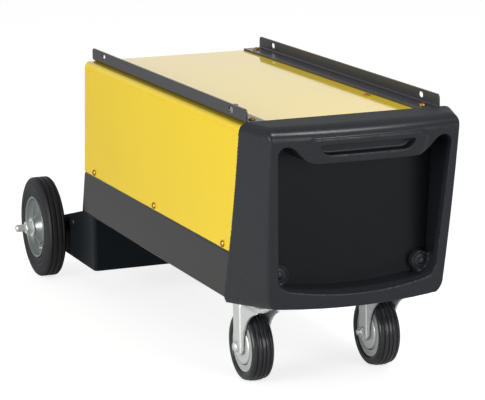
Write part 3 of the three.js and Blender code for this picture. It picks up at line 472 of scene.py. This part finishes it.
def pressed_fork(node):
    """The fork: a folded channel, set in at the front, cut to its side outline, bored for two bolts."""
    low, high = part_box(node)
    pivot_x = (low.x + high.x) / 2
    pivot_y = low.y + crown_front
    half = (high.x - low.x) / 2
    sheet = folded_channel(half, 0, high.z, low.y - mm, high.y + mm, fork_sheet, fork_bend)
    crease = pivot_y + joggle_place
    for place in (crease - joggle / 2, crease + joggle / 2):
        bmesh.ops.bisect_plane(sheet, geom=sheet.verts[:] + sheet.edges[:] + sheet.faces[:], dist=0.001 * mm,
                               plane_co=(0, place, 0), plane_no=(0, 1, 0))
    for vert in sheet.verts:
        set_in = joggle + toe_in * (crease - vert.co.y) if vert.co.y < crease else 0
        vert.co.x = pivot_x + vert.co.x * (1 - set_in / half)
    fork = as_object(sheet, node + "_sheet")
    axle = (pivot_y + caster_trail, caster_radius)
    under = high.z - fork_sheet
    lip = (low.y, under - fork_skirt)
    leg = (axle[0] - fork_boss, axle[1])
    sweep = (leg[0] - fork_sweep_back, under - fork_sweep_drop)
    pull, push = (tuple(a + (b - a) * 2 / 3 for a, b in zip(point, sweep)) for point in (lip, leg))
    outline = [(low.y, high.z + mm)] + curve(lip, pull, push, leg, 24) + arc(axle, fork_boss, 180, 360, 20)
    outline += [(axle[0] + fork_boss, axle[1]), (axle[0] + fork_boss, high.z + mm)]
    carve(fork, as_object(drawn_out(outline, "X", low.x - mm, high.x + mm), "outline"), "INTERSECT")
    reach = 2 * fork_sheet
    king = turned([(-reach, 0), (-reach, king_hole), (reach, king_hole), (reach, 0)],
                  (pivot_x, pivot_y, high.z), "Z", 32)
    carve(fork, as_object(king, "king_hole"))
    reach = half + mm
    bolt = turned([(-reach, 0), (-reach, bolt_hole), (reach, bolt_hole), (reach, 0)], (pivot_x, *axle), "X", 28)
    return carve(fork, as_object(bolt, "bolt_hole"))


def round_head_bolt(node, outward):
    """The fork's bolt: a plain shank under a low domed head on the outer side, in a CAD node's box."""
    low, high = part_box(node)
    half = (high.x - low.x) / 2
    shank = 4.0 * mm
    head = half - 5.5 * mm
    section = [(-half, 0), (-half, shank - 0.6 * mm), (0.6 * mm - half, shank), (head, shank), (head, 7.7 * mm),
               (head + 0.4 * mm, 8.0 * mm), (head + 1.8 * mm, 8.0 * mm), (head + 3.6 * mm, 7.3 * mm),
               (head + 4.9 * mm, 5.6 * mm), (half, 3.0 * mm), (half, 0)]
    return turned([(outward * place, radius) for place, radius in section], (low + high) / 2, "X", 40)


for side, outward in (("left", -1), ("right", 1)):
    stem = side + "_caster_"
    low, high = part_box(stem + "cup")
    section = [(-8.5, 6.3), (-8.5, 20.2), (-7.9, 21.2), (-5.8, 22.6), (-5.0, 23.0), (3.2, 23.0),
               (4.4, 24.0), (5.2, 26.2), (5.8, 27.0), (8.5, 27.0), (8.5, 6.3)]
    cup = turned([(place * mm, radius * mm) for place, radius in section], (low + high) / 2, "Z")
    fit(as_object(cup, side + "_bearing_cup"), "chassis", "zinc", zinc, stem + "cup", edge=0.6 * mm)
    king_bolt = as_object(sheet_from(stem + "king_bolt"), side + "_king_bolt")
    fit(king_bolt, "chassis", "zinc", zinc, stem + "king_bolt")
    nut = hex_nut(stem + "king_nut", "Z", king_hole, king_flats)
    nut.name = side + "_king_nut"
    fit(nut, "chassis", "zinc", zinc, stem + "king_nut", edge=0.25 * mm, segments=2)
    fork = pressed_fork(stem + "fork")
    fork.name = side + "_pressed_fork"
    fit(fork, side + "_swivel", "zinc", zinc, stem + "fork", edge=0.7 * mm)
    bolt = as_object(round_head_bolt(stem + "axle_bolt", outward), side + "_fork_bolt")
    fit(bolt, side + "_swivel", "zinc", zinc, stem + "axle_bolt", edge=0)
    nut = hex_nut(stem + "axle_nut", "X", bolt_hole, bolt_flats)
    nut.name = side + "_fork_nut"
    fit(nut, side + "_swivel", "zinc", zinc, stem + "axle_nut", edge=0.25 * mm, segments=2)

# Caster wheels: a pale grey nylon centre with a ribbed rubber tread moulded on, and a pressed zinc dust
# cover on each side of the web. They run straight on the fork's bolt.
tread_rubber = tyre_rubber("tread_rubber", tint(34, 35, 39), tint(53, 54, 58), 0.25)


def caster_core(centre):
    """The wheel centre's section: long hub, thin web and a rim, the pale ring beside the tread."""
    half = [(17.5, 4.3), (17.5, 10.2), (16.9, 11.0), (5.2, 11.0), (4.5, 11.8), (4.5, 27.0), (5.0, 27.5),
            (12.8, 27.5), (13.5, 28.2), (13.5, 36.2), (12.9, 37.0)]
    half = [(place * mm, radius * mm) for place, radius in half]
    return turned(half + [(-place, radius) for place, radius in reversed(half)], centre, "X", 96)


def caster_tread(centre):
    """The tread's section: round shoulders, and three ribs between four grooves."""
    half = [(13.2, 37.3), (14.8, 38.4), (15.8, 41.0), (16.0, 43.4), (15.5, 45.8), (14.2, 47.4), (12.4, 48.2),
            (10.6, 48.5), (9.8, 47.2), (8.9, 47.2), (8.1, 49.2), (6.0, 49.7), (4.0, 49.8), (3.2, 48.3),
            (2.3, 48.3), (1.6, 50.0)]
    half = [(place * mm, radius * mm) for place, radius in half]
    return turned(half + [(-place, radius) for place, radius in reversed(half)], centre, "X", 96)


def dust_cover(centre, outward):
    """A pressed cap: its wall stands on the web, its face is proud of the wheel and rolls down to the hub."""
    face = [(4.8, 26.0), (12.8, 26.0), (14.0, 25.6), (14.8, 24.7), (15.0, 23.4), (15.0, 20.0), (14.8, 16.0),
            (14.4, 13.0), (13.6, 11.4)]
    back = [(12.2, 11.4), (13.0, 13.0), (13.4, 16.0), (13.5, 23.2), (13.0, 24.2), (12.2, 24.5), (4.8, 24.5)]
    section = [(outward * place * mm, radius * mm) for place, radius in face + back]
    return turned(section, centre, "X", 96)


for side, outward in (("left", -1), ("right", 1)):
    stem = side + "_caster_"
    body = side + "_caster_wheel"
    low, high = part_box(stem + "tread")
    hub = (low + high) / 2
    core = as_object(caster_core(hub), side + "_caster_centre")
    fit(core, body, "nylon", grey_nylon, stem + "core", edge=0.4 * mm)
    tread = as_object(caster_tread(hub), side + "_ribbed_tread")
    fit(tread, body, "caster_rubber", tread_rubber, stem + "tread", edge=0.4 * mm)
    for place, way in (("outer", outward), ("inner", -outward)):
        dish = as_object(dust_cover(hub, way), side + "_dust_dish_" + place)
        fit(dish, body, "zinc", zinc, stem + "dust_cover_" + place, edge=0.3 * mm)

# Cover: one sheet of 1.5 mm steel folded into an inverted U and sprayed in gloss yellow. Its rear edge
# leans forward, its front edge follows the curved seam, and three screws a side hold it to the tray.
cover_low, cover_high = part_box("cover")
rear = cover_high.y
body_half = cover_high.x
deck = cover_high.z
cover_sheet = 1.5 * mm
cover_bend = 9.0 * mm
rear_rake = 16.0 * mm
deck_length = 665.0 * mm
seam_slope = 0.175
seam_radius = 1330.0 * mm
seam_gap = 0.5 * mm


def seam(z):
    """Y of the seam between the sheet metal and the front moulding, at a height."""
    below = deck - z
    return rear - deck_length + seam_slope * below + below * below / (2 * seam_radius)


def gloss_enamel(name, deep, pale):
    """Sprayed gloss paint: rich colour under a clear, slightly wavy surface."""
    material, where, wear = new_finish(name)
    drift = where.noise(4.5, 3)
    wave = where.noise(150, 1)
    wear(base_color=drift.between(deep, pale))
    wear(roughness=0.07 + 0.05 * (where.noise(30, 4) - 0.5), specular_ior_level=0.22)
    wear(normal=wave.bump(0.012 * mm, 0.5))
    return material


yellow_enamel = gloss_enamel("yellow_enamel", tint(238, 204, 14), tint(243, 211, 26))
hood = folded_channel(body_half, cover_low.z, deck, rear, rear - deck_length, cover_sheet, cover_bend)
slices = 12
for i in range(1, slices):
    height = cover_low.z + (deck - cover_bend - cover_low.z) * i / slices
    bmesh.ops.bisect_plane(hood, geom=hood.verts[:] + hood.edges[:] + hood.faces[:], dist=0.001 * mm,
                           plane_co=(0, 0, height), plane_no=(0, 0, 1))
for vert in hood.verts:
    up = (vert.co.z - cover_low.z) / (deck - cover_low.z)
    vert.co.y = rear - rear_rake * up if vert.co.y > rear - deck_length / 2 else seam(vert.co.z) + seam_gap
fit(as_object(hood, "hood"), "chassis", "yellow_paint", yellow_enamel, "cover", edge=0.4 * mm)

# Front moulding: one piece of charcoal plastic, 3 mm thick, with a deep recess whose upper edge is
# scalloped round the grip. The grip is a finger pocket in a raised rim, and two round bosses in the
# recess's lower corners take the screws. Its surface has a fine spark-eroded grain.
panel_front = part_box("front_panel")[0].y
wall = 3.0 * mm
bezel_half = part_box("front_bezel")[1].x
bezel_top = deck + 6.0 * mm
bezel_bottom = 130.0 * mm
bezel_depth = 65.0 * mm
bezel_lean = 0.15
bezel_taper = 0.31
bezel_bow = 8.0 * mm
crease = 6.0 * mm
top_round = 13.0 * mm
bottom_round = 22.0 * mm
roll_height = 21.0 * mm
roll_back = 25.0 * mm
roll_drop = 1.5 * mm
roll_drop_height = 60.0 * mm
smile = 9.0 * mm
sag = 0.12
sag_height = 90.0 * mm


def face_at(z):
    """Y of the moulding's front face at its corners, at a height."""
    return rear - deck_length - bezel_depth + bezel_lean * (deck - z)


def moulding(inset, proud, behind):
    """The moulding's body as a loft over its height, drawn in by the inset and carried behind the seam."""
    half = bezel_half - inset
    top = bezel_top - inset
    bottom = bezel_bottom + inset
    quarter = [i * math.pi / 20 for i in range(11)]
    low_round = bottom_round - inset
    low = [(bottom + low_round * (1 - math.cos(a)), low_round * (1 - math.sin(a)), 0) for a in quarter]
    high = []
    for a in quarter:
        over = max(top_round - roll_height + (roll_height - inset) * math.sin(a), 0)
        drawn_in = top_round - inset - math.sqrt(max((top_round - inset) ** 2 - over ** 2, 0))
        drawn_back = (roll_back - inset) * (1 - math.cos(a))
        high.append((top - (roll_height - inset) * (1 - math.sin(a)), drawn_in, drawn_back))
    foot = low[-1][0]
    head = high[0][0]
    middle = [(foot + (head - foot) * i / 16, 0, 0) for i in range(1, 16)]
    levels = low + middle + high
    corner = half - bezel_taper * bezel_depth
    side = [(corner + bezel_taper * crease, crease - bezel_depth), (corner, -bezel_depth),
            (corner - crease, -bezel_depth)]
    plan = [(half, behind)] if behind else []
    plan += [(half + (side[0][0] - half) * i / 6, side[0][1] * i / 6) for i in range(6)]
    plan += curve(side[0], side[1], side[1], side[2], 6)
    flat = side[2][0]
    plan += [(flat - 2 * flat * i / 40, -bezel_depth - bezel_bow * (1 - (1 - i / 20) ** 2)) for i in range(21)]
    plan += [(-x, y) for x, y in reversed(plan[:-1])]
    bm = bmesh.new()
    loop = [bm.verts.new((x, y, 0)) for x, y in plan]
    edges = [bm.edges.new(pair) for pair in zip(loop, loop[1:] + loop[:1])]
    for level in range(1, len(levels)):
        pulled = bmesh.ops.extrude_edge_only(bm, edges=edges)["geom"]
        edges = [item for item in pulled if isinstance(item, bmesh.types.BMEdge)]
        moved = [item for item in pulled if isinstance(item, bmesh.types.BMVert)]
        bmesh.ops.translate(bm, verts=moved, vec=(0, 0, 1))
    bmesh.ops.holes_fill(bm, edges=bm.edges)
    for vert in bm.verts:
        z, drawn_in, drawn_back = levels[round(vert.co.z)]
        depth = seam(z) - face_at(z) + proud - inset - drawn_back
        share = -vert.co.y / bezel_depth
        forward = max(share, 0.0)
        width = (half - drawn_in - bezel_taper * forward * depth) / (half - bezel_taper * forward * bezel_depth)
        y = seam(z) - share * depth if share > 0 else seam(z) + vert.co.y
        fall = sag * max(bottom + sag_height - z, 0) / sag_height * (y - face_at(z))
        drop = roll_drop * forward * max(z - top + roll_drop_height, 0) / roll_drop_height
        vert.co = (vert.co.x * width, y, z - fall - drop)
    return as_object(bm, "moulding")


def below_smile(raised):
    """What lies under the moulding's lower edge, which sags in the middle and falls away to the rear."""
    edge = bezel_bottom + raised
    wide = 2 * body_half
    outline = [(wide, 0), (wide, edge + smile)]
    outline += [(body_half * (1 - i / 16), edge + smile * (1 - i / 16) ** 2) for i in range(33)]
    outline += [(-wide, edge + smile), (-wide, 0)]
    bm = drawn_out(outline, "Y", rear - 2 * deck_length, rear)
    for vert in bm.verts:
        vert.co.z -= sag * (vert.co.y - face_at(bezel_bottom))
    return as_object(bm, "below_smile")


def mirrored(right):
    """A whole outline from its right half, which runs from the lower middle up to the upper middle."""
    return right + [(-x, z) for x, z in reversed(right)]


seat = panel_front - 0.3 * mm
ahead = rear - 1.5 * deck_length
floor_rise = 0.12


def recess(grow, end_y):
    """The recess as a tool: sagging lower edge, leaning sides, a lobe in each upper corner, the scallop."""
    half_top = 125 * mm + grow
    half_bottom = 116 * mm + grow
    top = 360 * mm + grow
    low = 159 * mm - grow
    dip = 8 * mm
    corner = 20 * mm + grow
    lobe = 12 * mm + grow
    scallop = 335 * mm + grow
    start = half_top - lobe
    end = 72 * mm - grow
    flat = half_bottom - corner
    right = [(flat * i / 12, low - dip * (1 - (i / 12) ** 2)) for i in range(12)]
    right += curve((flat, low), (flat + 0.6 * corner, low + 0.1 * corner), (half_bottom, low + 0.45 * corner),
                   (half_bottom, low + corner))
    foot = (half_bottom, low + corner)
    shoulder = (half_top, top - lobe)
    right += curve(foot, foot, shoulder, shoulder, 4)
    right += curve(shoulder, (half_top, top - 0.4 * lobe), (half_top - 0.4 * lobe, top), (start, top))
    lead = ((start + end) / 2 + 4 * mm, top)
    right += curve((start, top), lead, (start - 20 * mm, scallop), (end, scallop), 16)
    right += [(end, scallop)]
    bm = drawn_out(mirrored(right)[1:], "Y", ahead, end_y)
    for vert in bm.verts:
        near_floor = 1 - smooth_step(low, low + 2 * corner, vert.co.z)
        vert.co.z += floor_rise * (vert.co.y - face_at(low)) * near_floor
    return as_object(bm, "recess")


def boat(half_top, half_bottom, bottom, top, corner):
    """A boat-shaped outline, wider at the top, with round ends."""
    height = top - bottom
    keel = (half_bottom, bottom)
    widest = (half_top, top - height / 3)
    end = (half_top - corner, top)
    right = curve(keel, ((half_top + half_bottom) / 2, bottom), (half_top - 2 * mm, top - 0.6 * height), widest)
    right += curve(widest, (half_top + 1.5 * mm, top - height / 8), (half_top, top), end, 6)
    return mirrored(right + [end])


slot_top = 360 * mm
slot_bottom = 346 * mm
slot_half_top = 68 * mm
slot_half_bottom = 52 * mm
slot_corner = 3 * mm
slot_back = face_at(slot_top) + 8 * mm


def slot(grow):
    """The finger pocket as a tool."""
    outline = boat(slot_half_top + grow, slot_half_bottom + grow, slot_bottom - grow, slot_top + grow,
                   slot_corner + grow)
    return as_object(drawn_out(outline, "Y", ahead, slot_back + grow), "pocket")


grip_half_top = 83 * mm
grip_half_bottom = 67 * mm
grip_below = 14 * mm
grip_above = 9 * mm
grip_corner = 15 * mm
bezel = carve(moulding(0, 0, 0), below_smile(0))
for proud, grow in ((3 * mm, 0), (2.1 * mm, 2 * mm), (1.1 * mm, 4 * mm)):
    pad = moulding(0, proud, 0)
    grip = boat(grip_half_top + grow, grip_half_bottom + grow, slot_bottom - grip_below - grow,
                slot_top + grip_above, grip_corner + grow)
    carve(pad, as_object(drawn_out(grip, "Y", ahead, seat), "grip_rim"), "INTERSECT")
    carve(bezel, pad, "UNION")
hollow = carve(moulding(wall, 0, bezel_depth), below_smile(wall))
carve(hollow, recess(wall, seat))
carve(hollow, slot(wall))
carve(bezel, hollow)
well_half = 126 * mm
well_top = 138.1 * mm
well = [(-well_half, 0), (well_half, 0), (well_half, well_top), (-well_half, well_top)]
carve(bezel, as_object(drawn_out(well, "Y", seat, rear), "caster_well"))
carve(bezel, recess(0, rear))
carve(bezel, slot(0))
boss_x = 105 * mm
boss_height = 177 * mm
boss_face = 14 * mm
boss_section = [(0, 0), (0, 14.8), (-11.0, 14.2), (-12.0, 13.4), (-12.0, 11.9), (-9.3, 11.5), (-9.3, 9.7),
                (-12.0, 9.3), (-12.0, 0)]
for x in (-boss_x, boss_x):
    section = [(place * mm, radius * mm) for place, radius in boss_section]
    boss = turned(section, (x, seat, boss_height), "Y", 48)
    boss = carve(as_object(boss, "boss"), recess(wall, seat), "INTERSECT")
    carve(bezel, boss, "UNION")
# The fall of the lower edge pulls the sides off the seam, so their rear edges are eased back to it.
for vert in bezel.data.vertices:
    x, y, z = vert.co
    fall = sag * max(bezel_bottom + sag_height - z, 0) / (sag_height + sag * bezel_depth) * (y - face_at(z))
    rearward = max(y - face_at(z), 0) / (seam(z) - face_at(z))
    vert.co.y += (seam(z) - seam(z + fall)) * rearward * smooth_step(110 * mm, 130 * mm, abs(x))
even = bezel.modifiers.new("even skin", "REMESH")
even.mode = "VOXEL"
even.voxel_size = 1.15 * mm
soft = bezel.modifiers.new("moulded edges", "SMOOTH")
soft.factor = 0.5
soft.iterations = 5
thin = bezel.modifiers.new("fewer faces", "DECIMATE")
thin.ratio = 0.3
settle(bezel)
bezel.name = "front_moulding"


def eased(value, start, end):
    """0 at the start value and 1 at the end value, eased between them."""
    sockets = {"Value": value, "From Min": start, "From Max": end}
    return value.node("MapRange", {"interpolation_type": "SMOOTHSTEP"}, sockets)


def grained_plastic(name, deep, pale, inner, roughness, gloss):
    """Moulded plastic with an eroded grain, coarser on its top, with painted shade inside the recess."""
    material, where, wear = new_finish(name)
    drift = where.noise(11, 3)
    grain = where.noise(1300, 2, 0.6)
    x, y, z = (where.node("SeparateXYZ", {}, {"Vector": where}, axis) for axis in "XYZ")
    x = x.maths("ABSOLUTE", x, 0.0)
    # The inside mask picks out the recess behind the front face, off the boss faces: painted shade, laid on
    # where the recess is in shade.
    behind = y - face_at(0) + bezel_lean * z
    inside = eased(behind, 8 * mm, 14 * mm) * eased(x, 128 * mm, 126 * mm) * eased(z, 366 * mm, 362 * mm)
    from_boss = (x - boss_x) * (x - boss_x) + (z - boss_height) * (z - boss_height)
    inside = inside * eased(from_boss, boss_face ** 2, (boss_face + 2 * mm) ** 2)
    skin = (0.6 * drift + 0.4 * grain).between(deep, pale)
    # Painted shade: inside the recess the skin gives way to the darker inner tone.
    wear(base_color=inside.between(skin, inner))
    top = eased(z, bezel_top - 5 * mm, bezel_top - 1.5 * mm)
    wear(roughness=roughness + 0.32 * top + 0.10 * (drift - 0.5) + 0.10 * (grain - 0.5))
    wear(normal=grain.bump(0.05 * mm, 0.6), specular_ior_level=gloss)
    return material


# The third tone is the painted shade inside the recess, not a colour of the plastic.
charcoal_plastic = grained_plastic("charcoal_plastic", tint(38, 41, 45), tint(45, 48, 52), tint(27, 30, 34),
                                   0.28, 0.25)
fit(bezel, "chassis", "moulded_plastic", charcoal_plastic, "front_bezel", edge=0)

# Rails: angles folded from 2.5 mm steel, with rounded ends and a slot near each end for a tie-down. They
# stand on the deck and keep the machine in place, in a satin grey coat.
rail_paint = powder_coat("rail_paint", tint(57, 58, 62), tint(64, 65, 69), 0.30, 900, 0.3)
tie_inset = 55.0 * mm
tie_drop = 8.0 * mm
tie_half = 3.8 * mm
tie_round = 4.0 * mm
for side, outward in (("left", -1), ("right", 1)):
    low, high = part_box(side + "_rail")
    rail = as_object(sheet_from(side + "_rail"), side + "_deck_rail")
    outer = outward * max(abs(low.x), abs(high.x))
    tie_z = high.z - tie_drop
    for y in (low.y + tie_inset, high.y - tie_inset):
        hole = arc((y + tie_half, tie_z), tie_round, -90, 90, 12) + [(y + tie_half, tie_z + tie_round)]
        hole += arc((y - tie_half, tie_z), tie_round, 90, 270, 12) + [(y - tie_half, tie_z - tie_round)]
        tie_hole = drawn_out(hole, "X", outer + outward * mm, outer - outward * 4 * mm)
        carve(rail, as_object(tie_hole, "tie_hole"))
    fit(rail, "chassis", "rail_paint", rail_paint, side + "_rail", edge=0.5 * mm)

# Screws: pan heads with a cross recess. Those of the cover, deck and rails are steel with a yellow
# passivate, those of the moulding and of the shelf are black.
head_radius = 5.0 * mm
head_height = 3.2 * mm
head_gap = 0.3 * mm
shank_radius = 2.5 * mm
shank_length = 9.0 * mm
cross_arm = 2.4 * mm
cross_half = 0.5 * mm


def pan_head():
    """A screw along +Z whose head rests on the origin, with a cross cut into its crown."""
    screw = as_object(turned([
        (-shank_length, 0), (-shank_length, shank_radius), (head_gap, shank_radius),
        (head_gap, head_radius - 0.2 * mm), (0.6 * mm, head_radius), (1.5 * mm, head_radius - 0.1 * mm),
        (2.4 * mm, head_radius - 0.9 * mm), (3.0 * mm, head_radius - 2.2 * mm),
        (head_gap + head_height, 1.4 * mm), (head_gap + head_height, 0),
    ], (0, 0, 0), "Z", 40), "screw")
    for along, across in ((cross_arm, cross_half), (cross_half, cross_arm)):
        arm = bmesh.new()
        bmesh.ops.create_cube(arm, size=1)
        bmesh.ops.scale(arm, verts=arm.verts, vec=(2 * along, 2 * across, 3 * mm))
        bmesh.ops.translate(arm, verts=arm.verts, vec=(0, 0, 3.2 * mm))
        lower = [v for v in arm.verts if v.co.z < 3 * mm]
        bmesh.ops.scale(arm, verts=lower, vec=(0.5, 0.5, 1))
        carve(screw, as_object(arm, "arm"))
    mesh = screw.data
    bpy.data.objects.remove(screw)
    return mesh


def gold_passivate(name):
    """Yellow chromate on zinc: gold with rosy and greenish bands."""
    material, where, wear = new_finish(name)
    band = where.noise(210, 3)
    gold = band.between(tint(190, 128, 42), tint(214, 178, 92))
    wear(base_color=where.noise(90, 2).between(gold, tint(200, 150, 70)))
    wear(metallic=1.0, roughness=0.22 + 0.16 * band)
    return material


gold_zinc = gold_passivate("gold_zinc")
black_oxide = zinc_plate("black_oxide", tint(42, 43, 48), tint(70, 72, 78), 0.30, 0.46, 0.75)
screw_mesh = pan_head()
facing = {"+X": Matrix.Rotation(math.pi / 2, 4, "Y"), "-X": Matrix.Rotation(-math.pi / 2, 4, "Y"),
          "-Y": Matrix.Rotation(math.pi / 2, 4, "X"), "+Z": Matrix.Identity(4)}


def drive(node, way, slot_name, material):
    """Puts a screw where its CAD node is, its head facing the given way."""
    low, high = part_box(node)
    place = (low + high) / 2
    index = "XYZ".index(way[1])
    outer = high[index] if way[0] == "+" else low[index]
    place[index] = outer - math.copysign(head_gap + head_height, 1 if way[0] == "+" else -1)
    screw = bpy.data.objects.new(node + "_pan_head", screw_mesh.copy())
    bpy.context.scene.collection.objects.link(screw)
    screw.data.transform(Matrix.Translation(place) @ facing[way])
    fit(screw, "chassis", slot_name, material, node, edge=0.12 * mm, segments=2)


for side, way in (("left", "-X"), ("right", "+X")):
    for place in ("rear", "middle", "front"):
        drive(f"cover_screw_{side}_{place}", way, "gold_zinc", gold_zinc)
    for place in ("rear", "front"):
        drive(f"rail_screw_{side}_{place}", "+Z", "gold_zinc", gold_zinc)
    drive(f"deck_screw_{side}", "+Z", "gold_zinc", gold_zinc)
    drive(f"bezel_screw_{side}", "-Y", "black_steel", black_oxide)
    drive(f"shelf_bolt_{side}", way, "black_steel", black_oxide)

# Studio: a plain pale floor that runs out of view, and a pale surround that is brightest behind the cart.
# A soft box hangs overhead, a larger one on the left lights the cover's side, and one stands in front.
floor_bm = bmesh.new()
bmesh.ops.create_grid(floor_bm, x_segments=1, y_segments=1, size=14)
floor = as_object(floor_bm, "floor")
floor_white, floor_where, floor_wear = new_finish("floor_white")
to_camera, to_gloss, to_glass = (floor_where.node("LightPath", {}, {}, f"Is {kind} Ray")
                                 for kind in ("Camera", "Glossy", "Transmission"))
seen = 0.76 * to_camera + 0.12 * (to_gloss + to_glass)
floor_tone = floor_where.noise(0.6, 2).between(tint(205, 205, 205), tint(209, 209, 209))
floor_wear(base_color=floor_tone, roughness=0.9, specular_ior_level=0.0)
floor_wear(emission_color=seen.between((0, 0, 0, 1), (1, 1, 1, 1)), emission_strength=1.0)
floor.data.materials.append(floor_white)

world = bpy.data.worlds.new("surround")
world.use_nodes = True
tree = world.node_tree
way = Shade(tree).node("TexCoord", {}, {}, "Generated")
height = way.node("SeparateXYZ", {}, {"Vector": way}, "Z")
behind = way.node("VectorMath", {"operation": "DOT_PRODUCT"}, {0: way, 1: (0.36, 0.92, 0.15)}, "Value")
surround = 0.3 + 0.9 * eased(behind, 0.6, 0.95) * eased(height, 0.42, 0.24)
to_camera = way.node("LightPath", {}, {}, "Is Camera Ray")
tree.nodes["Background"].inputs["Color"].default_value = (1, 1, 1, 1)
tree.links.new((to_camera + (1 - to_camera) * surround).socket, tree.nodes["Background"].inputs["Strength"])
bpy.context.scene.world = world


def soft_box(name, place, target, size, power):
    lamp = bpy.data.lights.new(name, "AREA")
    lamp.shape = "RECTANGLE"
    lamp.size, lamp.size_y = size
    lamp.energy = power
    made = bpy.data.objects.new(name, lamp)
    made.location = place
    made.rotation_euler = (Vector(target) - Vector(place)).to_track_quat("-Z", "Y").to_euler()
    bpy.context.scene.collection.objects.link(made)


soft_box("overhead", (0.68, -1.35, 2.4), (0, -0.4, 0.3), (0.65, 0.5), 25)
soft_box("left", (-3.0, -1.0, 0.75), (0, -0.1, 0.25), (2.2, 1.4), 70)
soft_box("front", (1.0, -3.2, 0.9), (0, -0.3, 0.15), (1.5, 1.4), 24)

# Camera: a long lens that looks at the cart from the front left, a little from above. Its sensor is
# 36 mm wide, and it leans by less than a degree.
camera_place = (-1.29362, rear - 3.53567, 0.92801)
yaw = math.radians(21.69)
pitch = math.radians(11.8)
roll = math.radians(-0.81)
forward = Vector((math.sin(yaw) * math.cos(pitch), math.cos(yaw) * math.cos(pitch), -math.sin(pitch)))
level = Vector((math.cos(yaw), -math.sin(yaw), 0))
upright = level.cross(forward)
right = math.cos(roll) * level + math.sin(roll) * upright
up = -math.sin(roll) * level + math.cos(roll) * upright
lens = bpy.data.cameras.new("long_lens")
lens.sensor_width = 36
lens.lens = 177.46
camera = bpy.data.objects.new("camera", lens)
turn = Matrix((right, up, -forward)).transposed().to_4x4()
camera.matrix_world = Matrix.Translation(camera_place) @ turn
bpy.context.scene.collection.objects.link(camera)
bpy.context.scene.camera = camera
bpy.context.scene.view_settings.view_transform = "Standard"
